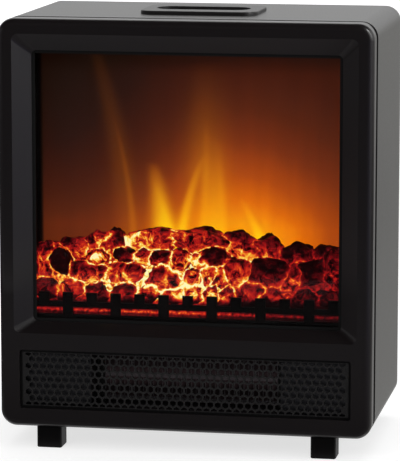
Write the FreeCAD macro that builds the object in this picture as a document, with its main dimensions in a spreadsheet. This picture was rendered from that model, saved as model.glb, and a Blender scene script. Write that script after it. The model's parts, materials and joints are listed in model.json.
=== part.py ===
import FreeCAD, Part
import math
import os

import Sketcher

# A tabletop electric fireplace: a steel casing with a moulded front, a lit coal bed and flame
# screen behind glass, and a fan heater below. Millimetres; X to the right, Y to the back, Z up,
# with the origin on the table under the middle of the casing.

SIZES = {
    # casing
    "casing_width": 340.0,
    "casing_height": 372.0,
    "casing_depth": 198.0,
    "corner_radius": 14.5,
    "casing_wall": 1.0,
    "hem_length": 12.0,
    "flange_width": 14.0,
    "flange_corner": 6.0,
    "rear_recess": 12.0,
    # feet
    "foot_height": 20.0,
    "foot_side": 23.0,
    "foot_corner": 2.5,
    "foot_edge": 1.0,
    "foot_setback": 6.5,
    "foot_inset": 44.0,
    "counterbore_depth": 8.0,
    # front bezel
    "bezel_side_depth": 16.5,
    "bezel_edge_radius": 6.5,
    "bezel_plate": 5.0,
    "groove_width": 11.2,
    "groove_top_depth": 0.4,
    "neck_fit": 0.25,
    "neck_wall": 2.5,
    "neck_insert": 10.0,
    "rim_width": 13.5,
    "bevel_width": 15.5,
    "bevel_bottom": 9.5,
    "bevel_depth": 12.0,
    "bevel_corner": 6.0,
    "window_corner": 4.6,
    "chin_height": 15.3,
    "seat_depth": 13.5,
    "seat_wall": 3.0,
    "boss_radius": 4.0,
    "duct_boss_radius": 3.5,
    "foot_boss_radius": 5.0,
    "foot_boss_height": 12.0,
    # outlet grille
    "grille_bottom": 17.4,
    "grille_height": 54.0,
    "grille_side": 18.5,
    "grille_lip": 2.5,
    "grille_lap": 4.0,
    "grille_thickness": 2.0,
    "grille_margin": 3.0,
    "hole_pitch": 6.85,
    "hole_web": 1.65,
    # window
    "glass_lap": 10.0,
    "glass_thickness": 4.0,
    "gasket_thickness": 1.0,
    "gasket_width": 12.8,
    # sheet metal, screws and clearances
    "sheet": 1.0,
    "fit": 0.3,
    "running_fit": 0.05,
    "screw_radius": 1.5,
    "screw_length": 9.0,
    "screw_head_radius": 3.0,
    "screw_head": 2.0,
    "screw_clearance": 0.2,
    "nut_radius": 3.5,
    "nut_height": 3.0,
    # flame chamber
    "chamber_lap": 5.4,
    "screen_depth": 58.0,
    "screen_thickness": 2.0,
    "screen_lap": 8.0,
    "clip_width": 12.0,
    "clip_reach": 6.0,
    "shelf_drop": 3.2,
    "shelf_side": 16.0,
    "shelf_flange": 12.0,
    # fire grate and coal bed
    "grate_gap": 1.5,
    "grate_thickness": 3.0,
    "grate_side_gap": 1.0,
    "grate_pitch": 22.15,
    "grate_bar": 9.5,
    "grate_sill": 9.0,
    "grate_slot": 6.7,
    "grate_rail": 5.0,
    "grate_stub": 8.3,
    "coal_base_front": 14.0,
    "coal_knee_setback": 13.0,
    "coal_knee_height": 48.0,
    "coal_base_back": 68.0,
    "coal_deep": 20.0,
    "coal_low_setback": 7.0,
    "coal_middle_setback": 14.0,
    "coal_top_setback": 23.0,
    # flame-effect lamps and flicker rod
    "led_setback": 66.0,
    "led_board_width": 210.0,
    "led_board_height": 14.0,
    "led_board_thickness": 1.6,
    "led_board_rise": 5.0,
    "led_bracket_height": 22.0,
    "led_bracket_foot": 12.0,
    "led_side": 5.0,
    "led_thickness": 1.4,
    "rod_setback": 95.0,
    "rod_rise": 27.0,
    "rod_radius": 2.0,
    "rod_left": 128.0,
    "rod_right": 108.0,
    "vane_hub_radius": 3.5,
    "vane_hub_length": 6.0,
    "vane_width": 12.0,
    "vane_reach": 14.0,
    "vane_thickness": 0.6,
    "vane_pitch": 18.0,
    "bush_radius": 4.0,
    "bush_length": 5.0,
    "bracket_thickness": 1.2,
    "bracket_width": 24.0,
    "bracket_foot": 16.0,
    "bracket_head": 12.0,
    "flicker_motor_radius": 24.0,
    "flicker_motor_length": 19.0,
    "output_shaft_depth": 8.0,
    # fan heater
    "duct_setback": 9.5,
    "duct_width": 174.0,
    "duct_length": 75.0,
    "duct_inset": 1.0,
    "duct_flange": 4.0,
    "heater_setback": 38.0,
    "heater_depth": 24.0,
    "heater_frame": 7.0,
    "heater_gap": 2.0,
    "heater_bar": 4.0,
    "fin_pitch": 4.4,
    "fin_thickness": 0.5,
    "cutout_radius": 8.0,
    "cutout_height": 6.0,
    "cutout_offset": 40.0,
    "blower_setback": 112.0,
    "scroll_radius": 26.0,
    "scroll_angle": 125.0,
    "end_plate": 1.2,
    "end_plate_overhang": 4.0,
    "impeller_radius": 22.0,
    "impeller_gap": 4.0,
    "disc_thickness": 1.2,
    "blade_depth": 7.0,
    "blade_thickness": 0.7,
    "tongue_gap": 12.0,
    "tongue_lip": 3.0,
    "shaft_radius": 3.0,
    "bearing_radius": 8.0,
    "bearing_length": 6.0,
    "motor_spacer": 10.0,
    "motor_bridge": 4.0,
    "motor_post": 6.0,
    "motor_post_radius": 3.0,
    "motor_post_offset": 15.0,
    "bridge_half": 18.5,
    "stator_length": 20.0,
    "stator_half": 20.0,
    "stator_tail": 52.0,
    "stator_limb": 14.0,
    "rotor_radius": 14.0,
    "rotor_gap": 0.5,
    "coil_half": 11.5,
    "coil_wall": 6.0,
    # rear panel and controls
    "vent_width": 62.0,
    "vent_height": 4.0,
    "vent_pitch": 9.0,
    "vent_column_pitch": 74.0,
    "inlet_rise": 30.0,
    "top_vent_drop": 50.0,
    "control_drop": 92.0,
    "control_width": 112.0,
    "control_height": 44.0,
    "control_thickness": 2.5,
    "control_window": 6.0,
    "control_screw_inset": 3.5,
    "switch_offset": 37.0,
    "switch_pitch": 22.0,
    "rocker_width": 13.0,
    "rocker_radius": 11.0,
    "rocker_rise": 5.5,
    "rocker_belly": 5.0,
    "rocker_dish": 1.2,
    "rocker_dish_radius": 40.0,
    "rocker_tilt": 10.0,
    "rocker_pin_radius": 1.5,
    "switch_wall": 1.4,
    "switch_flange": 1.3,
    "switch_flange_height": 1.5,
    "switch_depth": 22.0,
    "switch_floor": 9.0,
    "pivot_depth": 2.0,
    "knob_offset": 36.0,
    "knob_radius": 13.0,
    "knob_height": 6.0,
    "knob_ridge": 4.0,
    "knob_ridge_height": 2.5,
    "spindle_radius": 3.0,
    "thermostat_neck": 5.0,
    "thermostat_side": 28.0,
    "thermostat_depth": 16.0,
    "cord_bush_inset": 34.0,
    "cord_bush_rise": 30.0,
    "cord_bush_radius": 6.5,
    "cord_bush_flange": 8.5,
    "cord_bush_bore": 4.0,
    "cord_bush_length": 9.0,
    "cord_bush_lip": 2.0,
    "terminal_width": 36.0,
    "terminal_height": 16.0,
    "terminal_depth": 14.0,
    "terminal_inset": 80.0,
    "terminal_bore": 2.5,
    # tip-over switch
    "tip_inset": 60.0,
    "tip_setback": 120.0,
    "tip_side": 24.0,
    "tip_height": 30.0,
    "plunger_radius": 4.0,
    "plunger_collar": 6.5,
    "plunger_collar_height": 3.0,
    "plunger_travel": 6.0,
    "plunger_rise": 30.0,
    "plunger_top": 43.0,
    # carry handle
    "handle_width": 108.0,
    "handle_depth": 76.0,
    "handle_setback": 64.0,
    "handle_corner": 15.0,
    "handle_rise": 3.3,
    "handle_edge": 1.0,
    "handle_lap": 5.0,
    "handle_collar": 3.0,
    "slot_width": 86.0,
    "slot_depth": 34.0,
    "slot_setback": 21.0,
    "slot_corner": 15.0,
    "cup_wall": 2.0,
    "cup_depth": 36.0,
}

# Coals by row: place across, middle above the shelf, width, height
LOW_COALS = (
    (-134, 29, 24, 19), (-107, 28, 26, 17), (-85, 28, 22, 19), (-58, 27, 25, 17), (-30, 26, 23, 16),
    (-2, 27, 24, 17), (28, 29, 24, 21), (58, 27, 27, 18), (83, 27, 27, 18), (111, 28, 29, 18),
    (136, 29, 22, 18),
)
MIDDLE_COALS = (
    (-130, 51, 34, 33), (-95, 42, 39, 22), (-62, 59, 24, 20), (-60, 43, 34, 21), (-30, 60, 29, 18),
    (-7, 59, 24, 20), (20, 64, 25, 21), (-25, 42, 36, 26), (9, 44, 26, 21), (39, 48, 28, 30),
    (68, 45, 42, 26), (93, 42, 22, 26), (115, 48, 33, 28), (138, 46, 18, 30),
)
TOP_COALS = (
    (-128, 64, 24, 20), (-108, 61, 34, 25), (-84, 69, 33, 25), (-45, 74, 48, 24), (4, 76, 52, 25),
    (52, 68, 48, 33), (93, 65, 33, 22), (122, 66, 26, 23), (138, 60, 18, 24),
)

POST_EVERY = 2
STUBS_EACH_SIDE = 6
VANE_HUBS = 11
VANE_TURN = 40.0
IMPELLER_BLADES = 20
BLADE_LEAN = 35.0
LED_COUNT = 12
FIN_ROWS = 2
INLET_ROWS = 7
TOP_VENT_ROWS = 3
VENT_COLUMNS = (-1, 0, 1)
TERMINAL_WAYS = 3
SIDES = (("left", -1), ("right", 1))

doc = FreeCAD.newDocument("tabletop_fireplace")
sheet = doc.addObject("Spreadsheet::Sheet", "size")
for row, (alias, number) in enumerate(SIZES.items(), start=1):
    sheet.set(f"A{row}", alias)
    sheet.set(f"B{row}", str(number))
    sheet.setAlias(f"B{row}", alias)
doc.recompute()


def formula_of(term):
    return term.formula if isinstance(term, Size) else repr(float(term))


def value_of(term):
    return term.value if isinstance(term, Size) else float(term)


class Size:
    """A length that carries its spreadsheet formula and its value in millimetres."""

    def __init__(self, formula, value):
        self.formula = formula
        self.value = value

    def __add__(self, other):
        return Size(f"({self.formula} + {formula_of(other)})", self.value + value_of(other))

    def __radd__(self, other):
        return self + other

    def __sub__(self, other):
        return Size(f"({self.formula} - {formula_of(other)})", self.value - value_of(other))

    def __rsub__(self, other):
        return Size(f"({formula_of(other)} - {self.formula})", value_of(other) - self.value)

    def __mul__(self, other):
        return Size(f"({self.formula} * {formula_of(other)})", self.value * value_of(other))

    def __rmul__(self, other):
        return self * other

    def __truediv__(self, other):
        return Size(f"({self.formula} / {formula_of(other)})", self.value / value_of(other))

    def __neg__(self):
        return Size(f"(0 - {self.formula})", -self.value)


class Sizes:
    """The spreadsheet's sizes by name."""

    def __init__(self):
        for name in SIZES:
            setattr(self, name, Size(f"size.{name}", float(sheet.get(name))))


s = Sizes()
nodes = {}

# Places that several pieces share

nought = Size("0 mm", 0.0)
half_width = s.casing_width / 2
casing_bottom = s.foot_height
casing_top = s.foot_height + s.casing_height
front = -s.casing_depth / 2
back = s.casing_depth / 2
groove_front = front + s.bezel_side_depth
wrap_front = groove_front + s.groove_width
groove_depth = s.casing_wall * 2 + s.neck_fit
neck_inset = groove_depth + s.neck_wall
panel_out = back - s.rear_recess
panel_in = panel_out - s.sheet

window_half = half_width - s.rim_width - s.bevel_width
window_top = casing_top - s.rim_width - s.bevel_width
grille_low = casing_bottom + s.grille_bottom
grille_high = grille_low + s.grille_height
grille_half = half_width - s.grille_side
bevel_low = grille_high + s.chin_height
window_low = bevel_low + s.bevel_bottom

seat_front = front + s.seat_depth
glass_front = seat_front + s.gasket_thickness
glass_back = glass_front + s.glass_thickness
seat_reach = s.glass_lap + s.fit
boss_reach = seat_reach + s.seat_wall + s.boss_radius / 2

chamber_half = window_half + s.chamber_lap
chamber_roof = window_top + s.chamber_lap
liner_half = window_half + boss_reach + s.boss_radius
liner_top = window_top + boss_reach + s.boss_radius
screen_front = front + s.screen_depth
screen_back = screen_front + s.screen_thickness
screen_half = chamber_half + s.screen_lap
shelf_top = window_low - s.shelf_drop
shelf_half = half_width - s.shelf_side
grate_front = glass_back + s.grate_gap
grate_back = grate_front + s.grate_thickness

foot_x = half_width - s.foot_inset
foot_front = front + s.foot_setback
foot_back = back - s.foot_setback
foot_screw_front = groove_front + s.groove_width / 2
foot_screw_back = foot_back - s.foot_side / 2
base_screw_y = wrap_front + s.neck_insert / 2
base_screw_places = (foot_x * -0.7, nought, foot_x * 0.7)

duct_half = s.duct_width / 2
duct_low = grille_low + s.duct_inset
duct_high = grille_high - s.duct_inset
duct_front = front + s.duct_setback
duct_back = front + s.duct_length
duct_boss_x = half_width - neck_inset - s.duct_boss_radius - s.fit
duct_boss_low = grille_low + s.duct_flange
duct_boss_high = grille_high - s.duct_flange
heater_front = front + s.heater_setback
heater_back = heater_front + s.heater_depth

rod_y = front + s.rod_setback
rod_z = shelf_top + s.rod_rise
blower_y = front + s.blower_setback
blower_z = duct_low + s.scroll_radius
end_plate_out = duct_half + s.end_plate

handle_front = front + s.handle_setback
handle_back = handle_front + s.handle_depth
handle_top = casing_top + s.handle_rise
slot_front = handle_front + s.slot_setback
slot_back = slot_front + s.slot_depth

control_z = casing_top - s.control_drop
control_out = panel_out + s.control_thickness
pivot_y = control_out + s.switch_flange_height - s.pivot_depth
tip_x = half_width - s.tip_inset
tip_y = front + s.tip_setback


# Drawing helpers


def bind(piece, path, size):
    piece.setExpression(path, formula_of(size))


def place(piece, x, y, z):
    for path, size in (("x", x), ("y", y), ("z", z)):
        bind(piece, f"Placement.Base.{path}", size)


def node(label, piece):
    """Keep a finished sub-part under the name of its file."""
    piece.Label = label
    nodes[label] = piece
    return piece


def slab(name, x, y, z):
    """A box between two places along each axis."""
    piece = doc.addObject("Part::Box", name)
    bind(piece, "Length", x[1] - x[0])
    bind(piece, "Width", y[1] - y[0])
    bind(piece, "Height", z[1] - z[0])
    place(piece, x[0], y[0], z[0])
    return piece


AXIS_TURN = {
    "X": FreeCAD.Rotation(FreeCAD.Vector(0, 1, 0), 90),
    "Y": FreeCAD.Rotation(FreeCAD.Vector(1, 0, 0), -90),
    "Z": FreeCAD.Rotation(),
}


def rod(name, axis, start, radius, length):
    """A round bar that runs from its start along +X, +Y or +Z."""
    piece = doc.addObject("Part::Cylinder", name)
    piece.Placement = FreeCAD.Placement(FreeCAD.Vector(), AXIS_TURN[axis])
    bind(piece, "Radius", radius)
    bind(piece, "Height", length)
    place(piece, *start)
    return piece


def fuse(name, pieces):
    piece = doc.addObject("Part::MultiFuse", name)
    piece.Shapes = pieces
    return piece


def group(name, pieces):
    """Separate solids that share one name."""
    piece = doc.addObject("Part::Compound", name)
    piece.Links = pieces
    return piece


def cut(name, base, tools):
    piece = doc.addObject("Part::Cut", name)
    piece.Base = base
    piece.Tool = tools[0] if len(tools) == 1 else fuse(name + "_tools", tools)
    return piece


def screw(name, axis, seat, length, sign):
    """A pan-head screw: seat is the middle of the face its head rests on, sign the head's side."""
    index = "XYZ".index(axis)
    head = list(seat)
    shank = list(seat)
    if sign > 0:
        shank[index] = seat[index] - length
    else:
        head[index] = seat[index] - s.screw_head
    return fuse(name, [
        rod(name + "_head", axis, head, s.screw_head_radius, s.screw_head),
        rod(name + "_shank", axis, shank, s.screw_radius, length),
    ])


NORMAL_SIGN = {"XZ_Plane": -1, "XY_Plane": 1, "YZ_Plane": 1}


def sketch_at(body, plane, level, name):
    """A sketch on one of the body's own planes, moved to a level along X, Y or Z."""
    sketch = body.newObject("Sketcher::SketchObject", name)
    support = [item for item in body.Origin.OriginFeatures if item.Role == plane][0]
    sketch.AttachmentSupport = [(support, "")]
    sketch.MapMode = "FlatFace"
    bind(sketch, "AttachmentOffset.Base.z", level * NORMAL_SIGN[plane])
    return sketch


def dimension(sketch, name, size, *constraint):
    index = sketch.addConstraint(Sketcher.Constraint(*constraint, value_of(size)))
    sketch.renameConstraint(index, name)
    bind(sketch, f"Constraints.{name}", size)


def point(x, y):
    return FreeCAD.Vector(x, y, 0)


UP = FreeCAD.Vector(0, 0, 1)


def draw_rectangle(sketch, tag, left, right, low, high, radius):
    """A closed rectangle with round corners, its four sides measured from the origin."""
    x0, x1, y0, y1, r = (value_of(size) for size in (left, right, low, high, radius))
    first = sketch.GeometryCount
    corners = ((x1 - r, y0 + r, -90), (x1 - r, y1 - r, 0), (x0 + r, y1 - r, 90), (x0 + r, y0 + r, 180))
    sides = (
        (point(x0 + r, y0), point(x1 - r, y0)),
        (point(x1, y0 + r), point(x1, y1 - r)),
        (point(x1 - r, y1), point(x0 + r, y1)),
        (point(x0, y1 - r), point(x0, y0 + r)),
    )
    for (start, end), (cx, cy, turn) in zip(sides, corners):
        sketch.addGeometry(Part.LineSegment(start, end))
        circle = Part.Circle(point(cx, cy), UP, r)
        sketch.addGeometry(Part.ArcOfCircle(circle, math.radians(turn), math.radians(turn + 90)))
    for index in range(8):
        following = first + (index + 1) % 8
        sketch.addConstraint(Sketcher.Constraint("Tangent", first + index, 2, following, 1))
    for index, kind in ((0, "Horizontal"), (2, "Vertical"), (4, "Horizontal"), (6, "Vertical")):
        sketch.addConstraint(Sketcher.Constraint(kind, first + index))
    for index in (3, 5, 7):
        sketch.addConstraint(Sketcher.Constraint("Equal", first + 1, first + index))
    dimension(sketch, tag + "_corner", radius, "Radius", first + 1)
    dimension(sketch, tag + "_low", low, "DistanceY", -1, 1, first, 1)
    dimension(sketch, tag + "_right", right, "DistanceX", -1, 1, first + 2, 1)
    dimension(sketch, tag + "_high", high, "DistanceY", -1, 1, first + 4, 1)
    dimension(sketch, tag + "_left", left, "DistanceX", -1, 1, first + 6, 1)


def draw_circle(sketch, tag, x, y, radius):
    index = sketch.GeometryCount
    sketch.addGeometry(Part.Circle(point(value_of(x), value_of(y)), UP, value_of(radius)))
    dimension(sketch, tag + "_radius", radius, "Radius", index)
    dimension(sketch, tag + "_x", x, "DistanceX", -1, 1, index, 3)
    dimension(sketch, tag + "_y", y, "DistanceY", -1, 1, index, 3)


def draw_circles(sketch, centres, radius):
    for number, (x, y) in enumerate(centres):
        draw_circle(sketch, f"hole{number}", x, y, radius)


def pad(body, sketch, length, towards):
    """Raise a sketch along its axis, towards +1 or -1."""
    feature = body.newObject("PartDesign::Pad", sketch.Name + "_pad")
    feature.Profile = sketch
    bind(feature, "Length", length)
    feature.Reversed = NORMAL_SIGN[sketch.AttachmentSupport[0][0].Role] != towards
    return feature


def pocket(body, sketch, length, towards):
    """Sink a sketch along its axis, towards +1 or -1."""
    feature = body.newObject("PartDesign::Pocket", sketch.Name + "_pocket")
    feature.Profile = sketch
    bind(feature, "Length", length)
    feature.Reversed = NORMAL_SIGN[sketch.AttachmentSupport[0][0].Role] == towards
    return feature


def round_edges(body, name, radius, chosen):
    """Round the edges of the body so far that the chooser picks."""
    doc.recompute()
    base = body.Tip
    edges = [f"Edge{n}" for n, edge in enumerate(base.Shape.Edges, start=1) if chosen(edge)]
    feature = body.newObject("PartDesign::Fillet", name)
    feature.Base = (base, edges)
    bind(feature, "Radius", radius)
    return feature


def lies_at(axis, level):
    """Chooses edges that lie wholly in one plane."""
    def chosen(edge):
        box = edge.BoundBox
        low, high = {"Y": (box.YMin, box.YMax), "Z": (box.ZMin, box.ZMax)}[axis]
        return abs(low - value_of(level)) < 0.01 and abs(high - value_of(level)) < 0.01
    return chosen


def outline(inset, corner=None):
    """The casing's front outline, moved inwards."""
    radius = s.corner_radius - inset if corner is None else corner
    return (inset - half_width, half_width - inset, casing_bottom + inset, casing_top - inset, radius)


def window(reach, corner):
    """The window opening, moved outwards."""
    across = window_half + reach
    return (-across, across, window_low - reach, window_top + reach, corner)


def liner_screw_places():
    side = window_half + boss_reach
    rise = (window_top - window_low) / 4
    places = [(side * sign, window_low + rise * step) for _, sign in SIDES for step in (1, 3)]
    return places + [(window_half * (sign * 0.5), window_top + boss_reach) for _, sign in SIDES]


def duct_screw_places():
    return [(duct_boss_x * sign, z) for _, sign in SIDES for z in (duct_boss_low, duct_boss_high)]


def rear_screw_places():
    across = half_width - s.casing_wall - s.flange_width / 2
    low = casing_bottom + s.casing_wall + s.flange_width / 2
    high = casing_top - s.casing_wall - s.flange_width / 2
    middle = (low + high) / 2
    places = [(across * sign, z) for _, sign in SIDES for z in (low * 2, middle, high - low)]
    return places + [(nought, low), (nought, high)]


def control_screw_places():
    across = s.control_width / 2 - s.control_screw_inset
    return [(across * sign, control_z) for _, sign in SIDES]


def switch_places():
    names = ("flame", "low_heat", "high_heat")
    return [(name, s.switch_pitch * step - s.switch_offset) for step, name in enumerate(names)]


# Casing


def casing_wrap():
    """Steel sleeve with a hemmed front edge and a rear flange for the back panel."""
    body = doc.addObject("PartDesign::Body", "casing_wrap")
    tube = sketch_at(body, "XZ_Plane", wrap_front, "wrap_section")
    draw_rectangle(tube, "outer", *outline(0))
    draw_rectangle(tube, "inner", *outline(s.casing_wall))
    pad(body, tube, back - wrap_front, 1)
    hem = sketch_at(body, "XZ_Plane", wrap_front, "wrap_hem")
    draw_rectangle(hem, "outer", *outline(s.casing_wall / 2))
    draw_rectangle(hem, "inner", *outline(s.casing_wall * 2))
    pad(body, hem, s.hem_length, 1)
    flange = sketch_at(body, "XZ_Plane", panel_in - s.sheet, "wrap_flange")
    draw_rectangle(flange, "outer", *outline(s.casing_wall / 2))
    draw_rectangle(flange, "inner", *outline(s.flange_width + s.casing_wall, s.flange_corner))
    pad(body, flange, s.sheet, 1)
    hatch = sketch_at(body, "XY_Plane", casing_top, "handle_hatch")
    across = s.handle_width / 2 - s.handle_lap + s.fit
    inset = s.handle_lap - s.fit
    draw_rectangle(hatch, "hatch", -across, across, handle_front + inset, handle_back - inset,
                   s.handle_corner - inset)
    pocket(body, hatch, s.casing_wall * 2, -1)
    holes = sketch_at(body, "XY_Plane", casing_bottom, "base_holes")
    places = [(foot_x * sign, foot_screw_back) for _, sign in SIDES]
    places += [(x, base_screw_y) for x in base_screw_places]
    draw_circles(holes, places, s.screw_radius + s.screw_clearance)
    pocket(body, holes, s.casing_wall * 3, 1)
    plunger = sketch_at(body, "XY_Plane", casing_bottom, "plunger_hole")
    draw_circle(plunger, "plunger", tip_x, tip_y, s.plunger_radius + s.fit)
    pocket(body, plunger, s.casing_wall * 3, 1)
    rear = sketch_at(body, "XZ_Plane", panel_in, "rear_screw_holes")
    draw_circles(rear, rear_screw_places(), s.screw_radius + s.running_fit)
    pocket(body, rear, s.sheet * 2, -1)
    node("casing_wrap", body)


def front_bezel():
    """Moulded front: a rounded rim, a bevelled window, the grille opening and a neck for the casing."""
    body = doc.addObject("PartDesign::Body", "front_bezel")
    face = sketch_at(body, "XZ_Plane", front, "bezel_outline")
    draw_rectangle(face, "outer", *outline(0))
    pad(body, face, s.bezel_side_depth, 1)
    round_edges(body, "bezel_edge", s.bezel_edge_radius, lies_at("Y", front))

    bevel = body.newObject("PartDesign::SubtractiveLoft", "window_bevel")
    bevel_front = sketch_at(body, "XZ_Plane", front, "bevel_front")
    bevel_half = half_width - s.rim_width
    draw_rectangle(bevel_front, "bevel", -bevel_half, bevel_half, bevel_low, casing_top - s.rim_width,
                   s.bevel_corner)
    bevel_back = sketch_at(body, "XZ_Plane", front + s.bevel_depth, "bevel_back")
    draw_rectangle(bevel_back, "window", *window(0, s.window_corner))
    bevel.Profile = bevel_front
    bevel.Sections = [(bevel_back, [""])]
    bevel.Ruled = True
    opening = sketch_at(body, "XZ_Plane", front + s.bevel_depth, "window_opening")
    draw_rectangle(opening, "window", *window(0, s.window_corner))
    pocket(body, opening, s.bezel_side_depth, 1)
    seat = sketch_at(body, "XZ_Plane", groove_front, "glass_seat")
    draw_rectangle(seat, "seat", *window(seat_reach, s.fit * 2))
    pocket(body, seat, s.bezel_side_depth - s.seat_depth, -1)
    channel = sketch_at(body, "XZ_Plane", groove_front, "rear_channel")
    draw_rectangle(channel, "outer", *outline(neck_inset))
    draw_rectangle(channel, "inner", *window(seat_reach + s.seat_wall, s.window_corner))
    pocket(body, channel, s.bezel_side_depth - s.bezel_plate, -1)

    band = sketch_at(body, "XZ_Plane", groove_front, "groove_floor")
    left, right, low, _, corner = outline(groove_depth)
    draw_rectangle(band, "outer", left, right, low, casing_top - s.groove_top_depth, corner)
    draw_rectangle(band, "inner", *outline(neck_inset))
    pad(body, band, s.groove_width - s.fit, 1)
    neck = sketch_at(body, "XZ_Plane", groove_front, "bezel_neck")
    draw_rectangle(neck, "outer", *outline(groove_depth))
    draw_rectangle(neck, "inner", *outline(neck_inset))
    pad(body, neck, s.groove_width + s.neck_insert, 1)
    boss_root = front + s.bezel_plate * 0.9
    bosses = sketch_at(body, "XZ_Plane", boss_root, "liner_bosses")
    draw_circles(bosses, liner_screw_places(), s.boss_radius)
    pad(body, bosses, glass_back - boss_root, 1)
    pilots = sketch_at(body, "XZ_Plane", glass_back, "liner_pilots")
    draw_circles(pilots, liner_screw_places(), s.screw_radius + s.running_fit)
    pocket(body, pilots, s.screw_length, -1)

    rebate = sketch_at(body, "XZ_Plane", front + s.bezel_plate, "grille_rebate")
    across = grille_half + s.grille_lap + s.fit
    draw_rectangle(rebate, "rebate", -across, across, grille_low - s.grille_lap - s.fit,
                   grille_high + s.grille_lap + s.fit, s.fit)
    pocket(body, rebate, s.bezel_plate - s.grille_lip, -1)
    mouth = sketch_at(body, "XZ_Plane", front, "grille_mouth")
    draw_rectangle(mouth, "mouth", -grille_half, grille_half, grille_low, grille_high, s.grille_lip)
    pocket(body, mouth, s.bezel_plate, 1)
    duct_bosses = sketch_at(body, "XZ_Plane", front + s.bezel_plate / 2, "duct_bosses")
    draw_circles(duct_bosses, duct_screw_places(), s.duct_boss_radius)
    pad(body, duct_bosses, s.duct_setback - s.bezel_plate / 2, 1)
    duct_pilots = sketch_at(body, "XZ_Plane", duct_front, "duct_pilots")
    draw_circles(duct_pilots, duct_screw_places(), s.screw_radius + s.running_fit)
    pocket(body, duct_pilots, s.duct_setback - s.grille_lip, -1)

    foot_places = [(foot_x * sign, foot_screw_front) for _, sign in SIDES]
    foot_bosses = sketch_at(body, "XY_Plane", casing_bottom + groove_depth, "foot_bosses")
    draw_circles(foot_bosses, foot_places, s.foot_boss_radius)
    pad(body, foot_bosses, s.foot_boss_height, 1)
    foot_pilots = sketch_at(body, "XY_Plane", casing_bottom, "foot_pilots")
    draw_circles(foot_pilots, foot_places, s.screw_radius + s.running_fit)
    pocket(body, foot_pilots, s.foot_boss_height + groove_depth, 1)
    base_pilots = sketch_at(body, "XY_Plane", casing_bottom, "base_pilots")
    draw_circles(base_pilots, [(x, base_screw_y) for x in base_screw_places],
                 s.screw_radius + s.running_fit)
    pocket(body, base_pilots, neck_inset + s.fit, 1)
    node("front_bezel", body)


def base_screws():
    node("bezel_base_screws", group("base_screws", [
        screw(f"base_screw_{number}", "Z", (x, base_screw_y, casing_bottom), neck_inset, -1)
        for number, x in enumerate(base_screw_places)
    ]))


def feet():
    """Four moulded block feet; the front pair also fill the shadow groove above them."""
    for end, low in (("front", foot_front), ("rear", foot_back - s.foot_side)):
        screw_y = foot_screw_front if end == "front" else foot_screw_back
        for side, sign in SIDES:
            label = f"foot_{end}_{side}"
            body = doc.addObject("PartDesign::Body", label)
            middle = foot_x * sign
            block = sketch_at(body, "XY_Plane", nought, label + "_block")
            draw_rectangle(block, "block", middle - s.foot_side / 2, middle + s.foot_side / 2,
                           low, low + s.foot_side, s.foot_corner)
            pad(body, block, s.foot_height, 1)
            round_edges(body, label + "_edge", s.foot_edge, lies_at("Z", 0))
            if end == "front":
                key = sketch_at(body, "XY_Plane", casing_bottom, label + "_key")
                draw_rectangle(key, "key", middle - s.foot_side / 2 + s.foot_corner,
                               middle + s.foot_side / 2 - s.foot_corner, groove_front + s.fit,
                               wrap_front - s.fit, s.foot_edge)
                pad(body, key, groove_depth, 1)
            bore = sketch_at(body, "XY_Plane", nought, label + "_bore")
            draw_circle(bore, "bore", middle, screw_y, s.screw_radius + s.screw_clearance)
            pocket(body, bore, casing_bottom + groove_depth * 2, 1)
            recess = sketch_at(body, "XY_Plane", nought, label + "_recess")
            draw_circle(recess, "recess", middle, screw_y, s.screw_head_radius + s.screw_clearance)
            pocket(body, recess, s.counterbore_depth, 1)
            node(label, body)


def foot_screws():
    fasteners = []
    reach = s.foot_height - s.counterbore_depth
    nut_low = casing_bottom + s.casing_wall
    for side, sign in SIDES:
        x = foot_x * sign
        front_seat = (x, foot_screw_front, s.counterbore_depth)
        fasteners.append(screw(f"foot_screw_front_{side}", "Z", front_seat,
                               reach + groove_depth + s.screw_length, -1))
        rear_seat = (x, foot_screw_back, s.counterbore_depth)
        fasteners.append(screw(f"foot_screw_rear_{side}", "Z", rear_seat,
                               reach + s.casing_wall + s.nut_height, -1))
        blank = rod(f"nut_{side}", "Z", (x, foot_screw_back, nut_low), s.nut_radius, s.nut_height)
        bore = rod(f"nut_bore_{side}", "Z", (x, foot_screw_back, nut_low),
                   s.screw_radius + s.running_fit, s.nut_height)
        fasteners.append(cut(f"foot_nut_{side}", blank, [bore]))
    node("foot_fasteners", group("foot_fastener_set", fasteners))


# Window and flame chamber


def window_gasket():
    """Flat rubber frame on the glass; its inner edge shows as a thin black border in the window."""
    across = window_half + s.glass_lap
    low = window_low - s.glass_lap
    high = window_top + s.glass_lap
    y = (seat_front, glass_front)
    ring = slab("gasket_outer", (-across, across), y, (low, high))
    hole = slab("gasket_inner", (s.gasket_width - across, across - s.gasket_width), y,
                (low + s.gasket_width, high - s.gasket_width))
    node("window_gasket", cut("gasket", ring, [hole]))


def window_glass():
    across = window_half + s.glass_lap
    node("window_glass", slab("glass", (-across, across), (glass_front, glass_back),
                              (window_low - s.glass_lap, window_top + s.glass_lap)))


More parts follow.
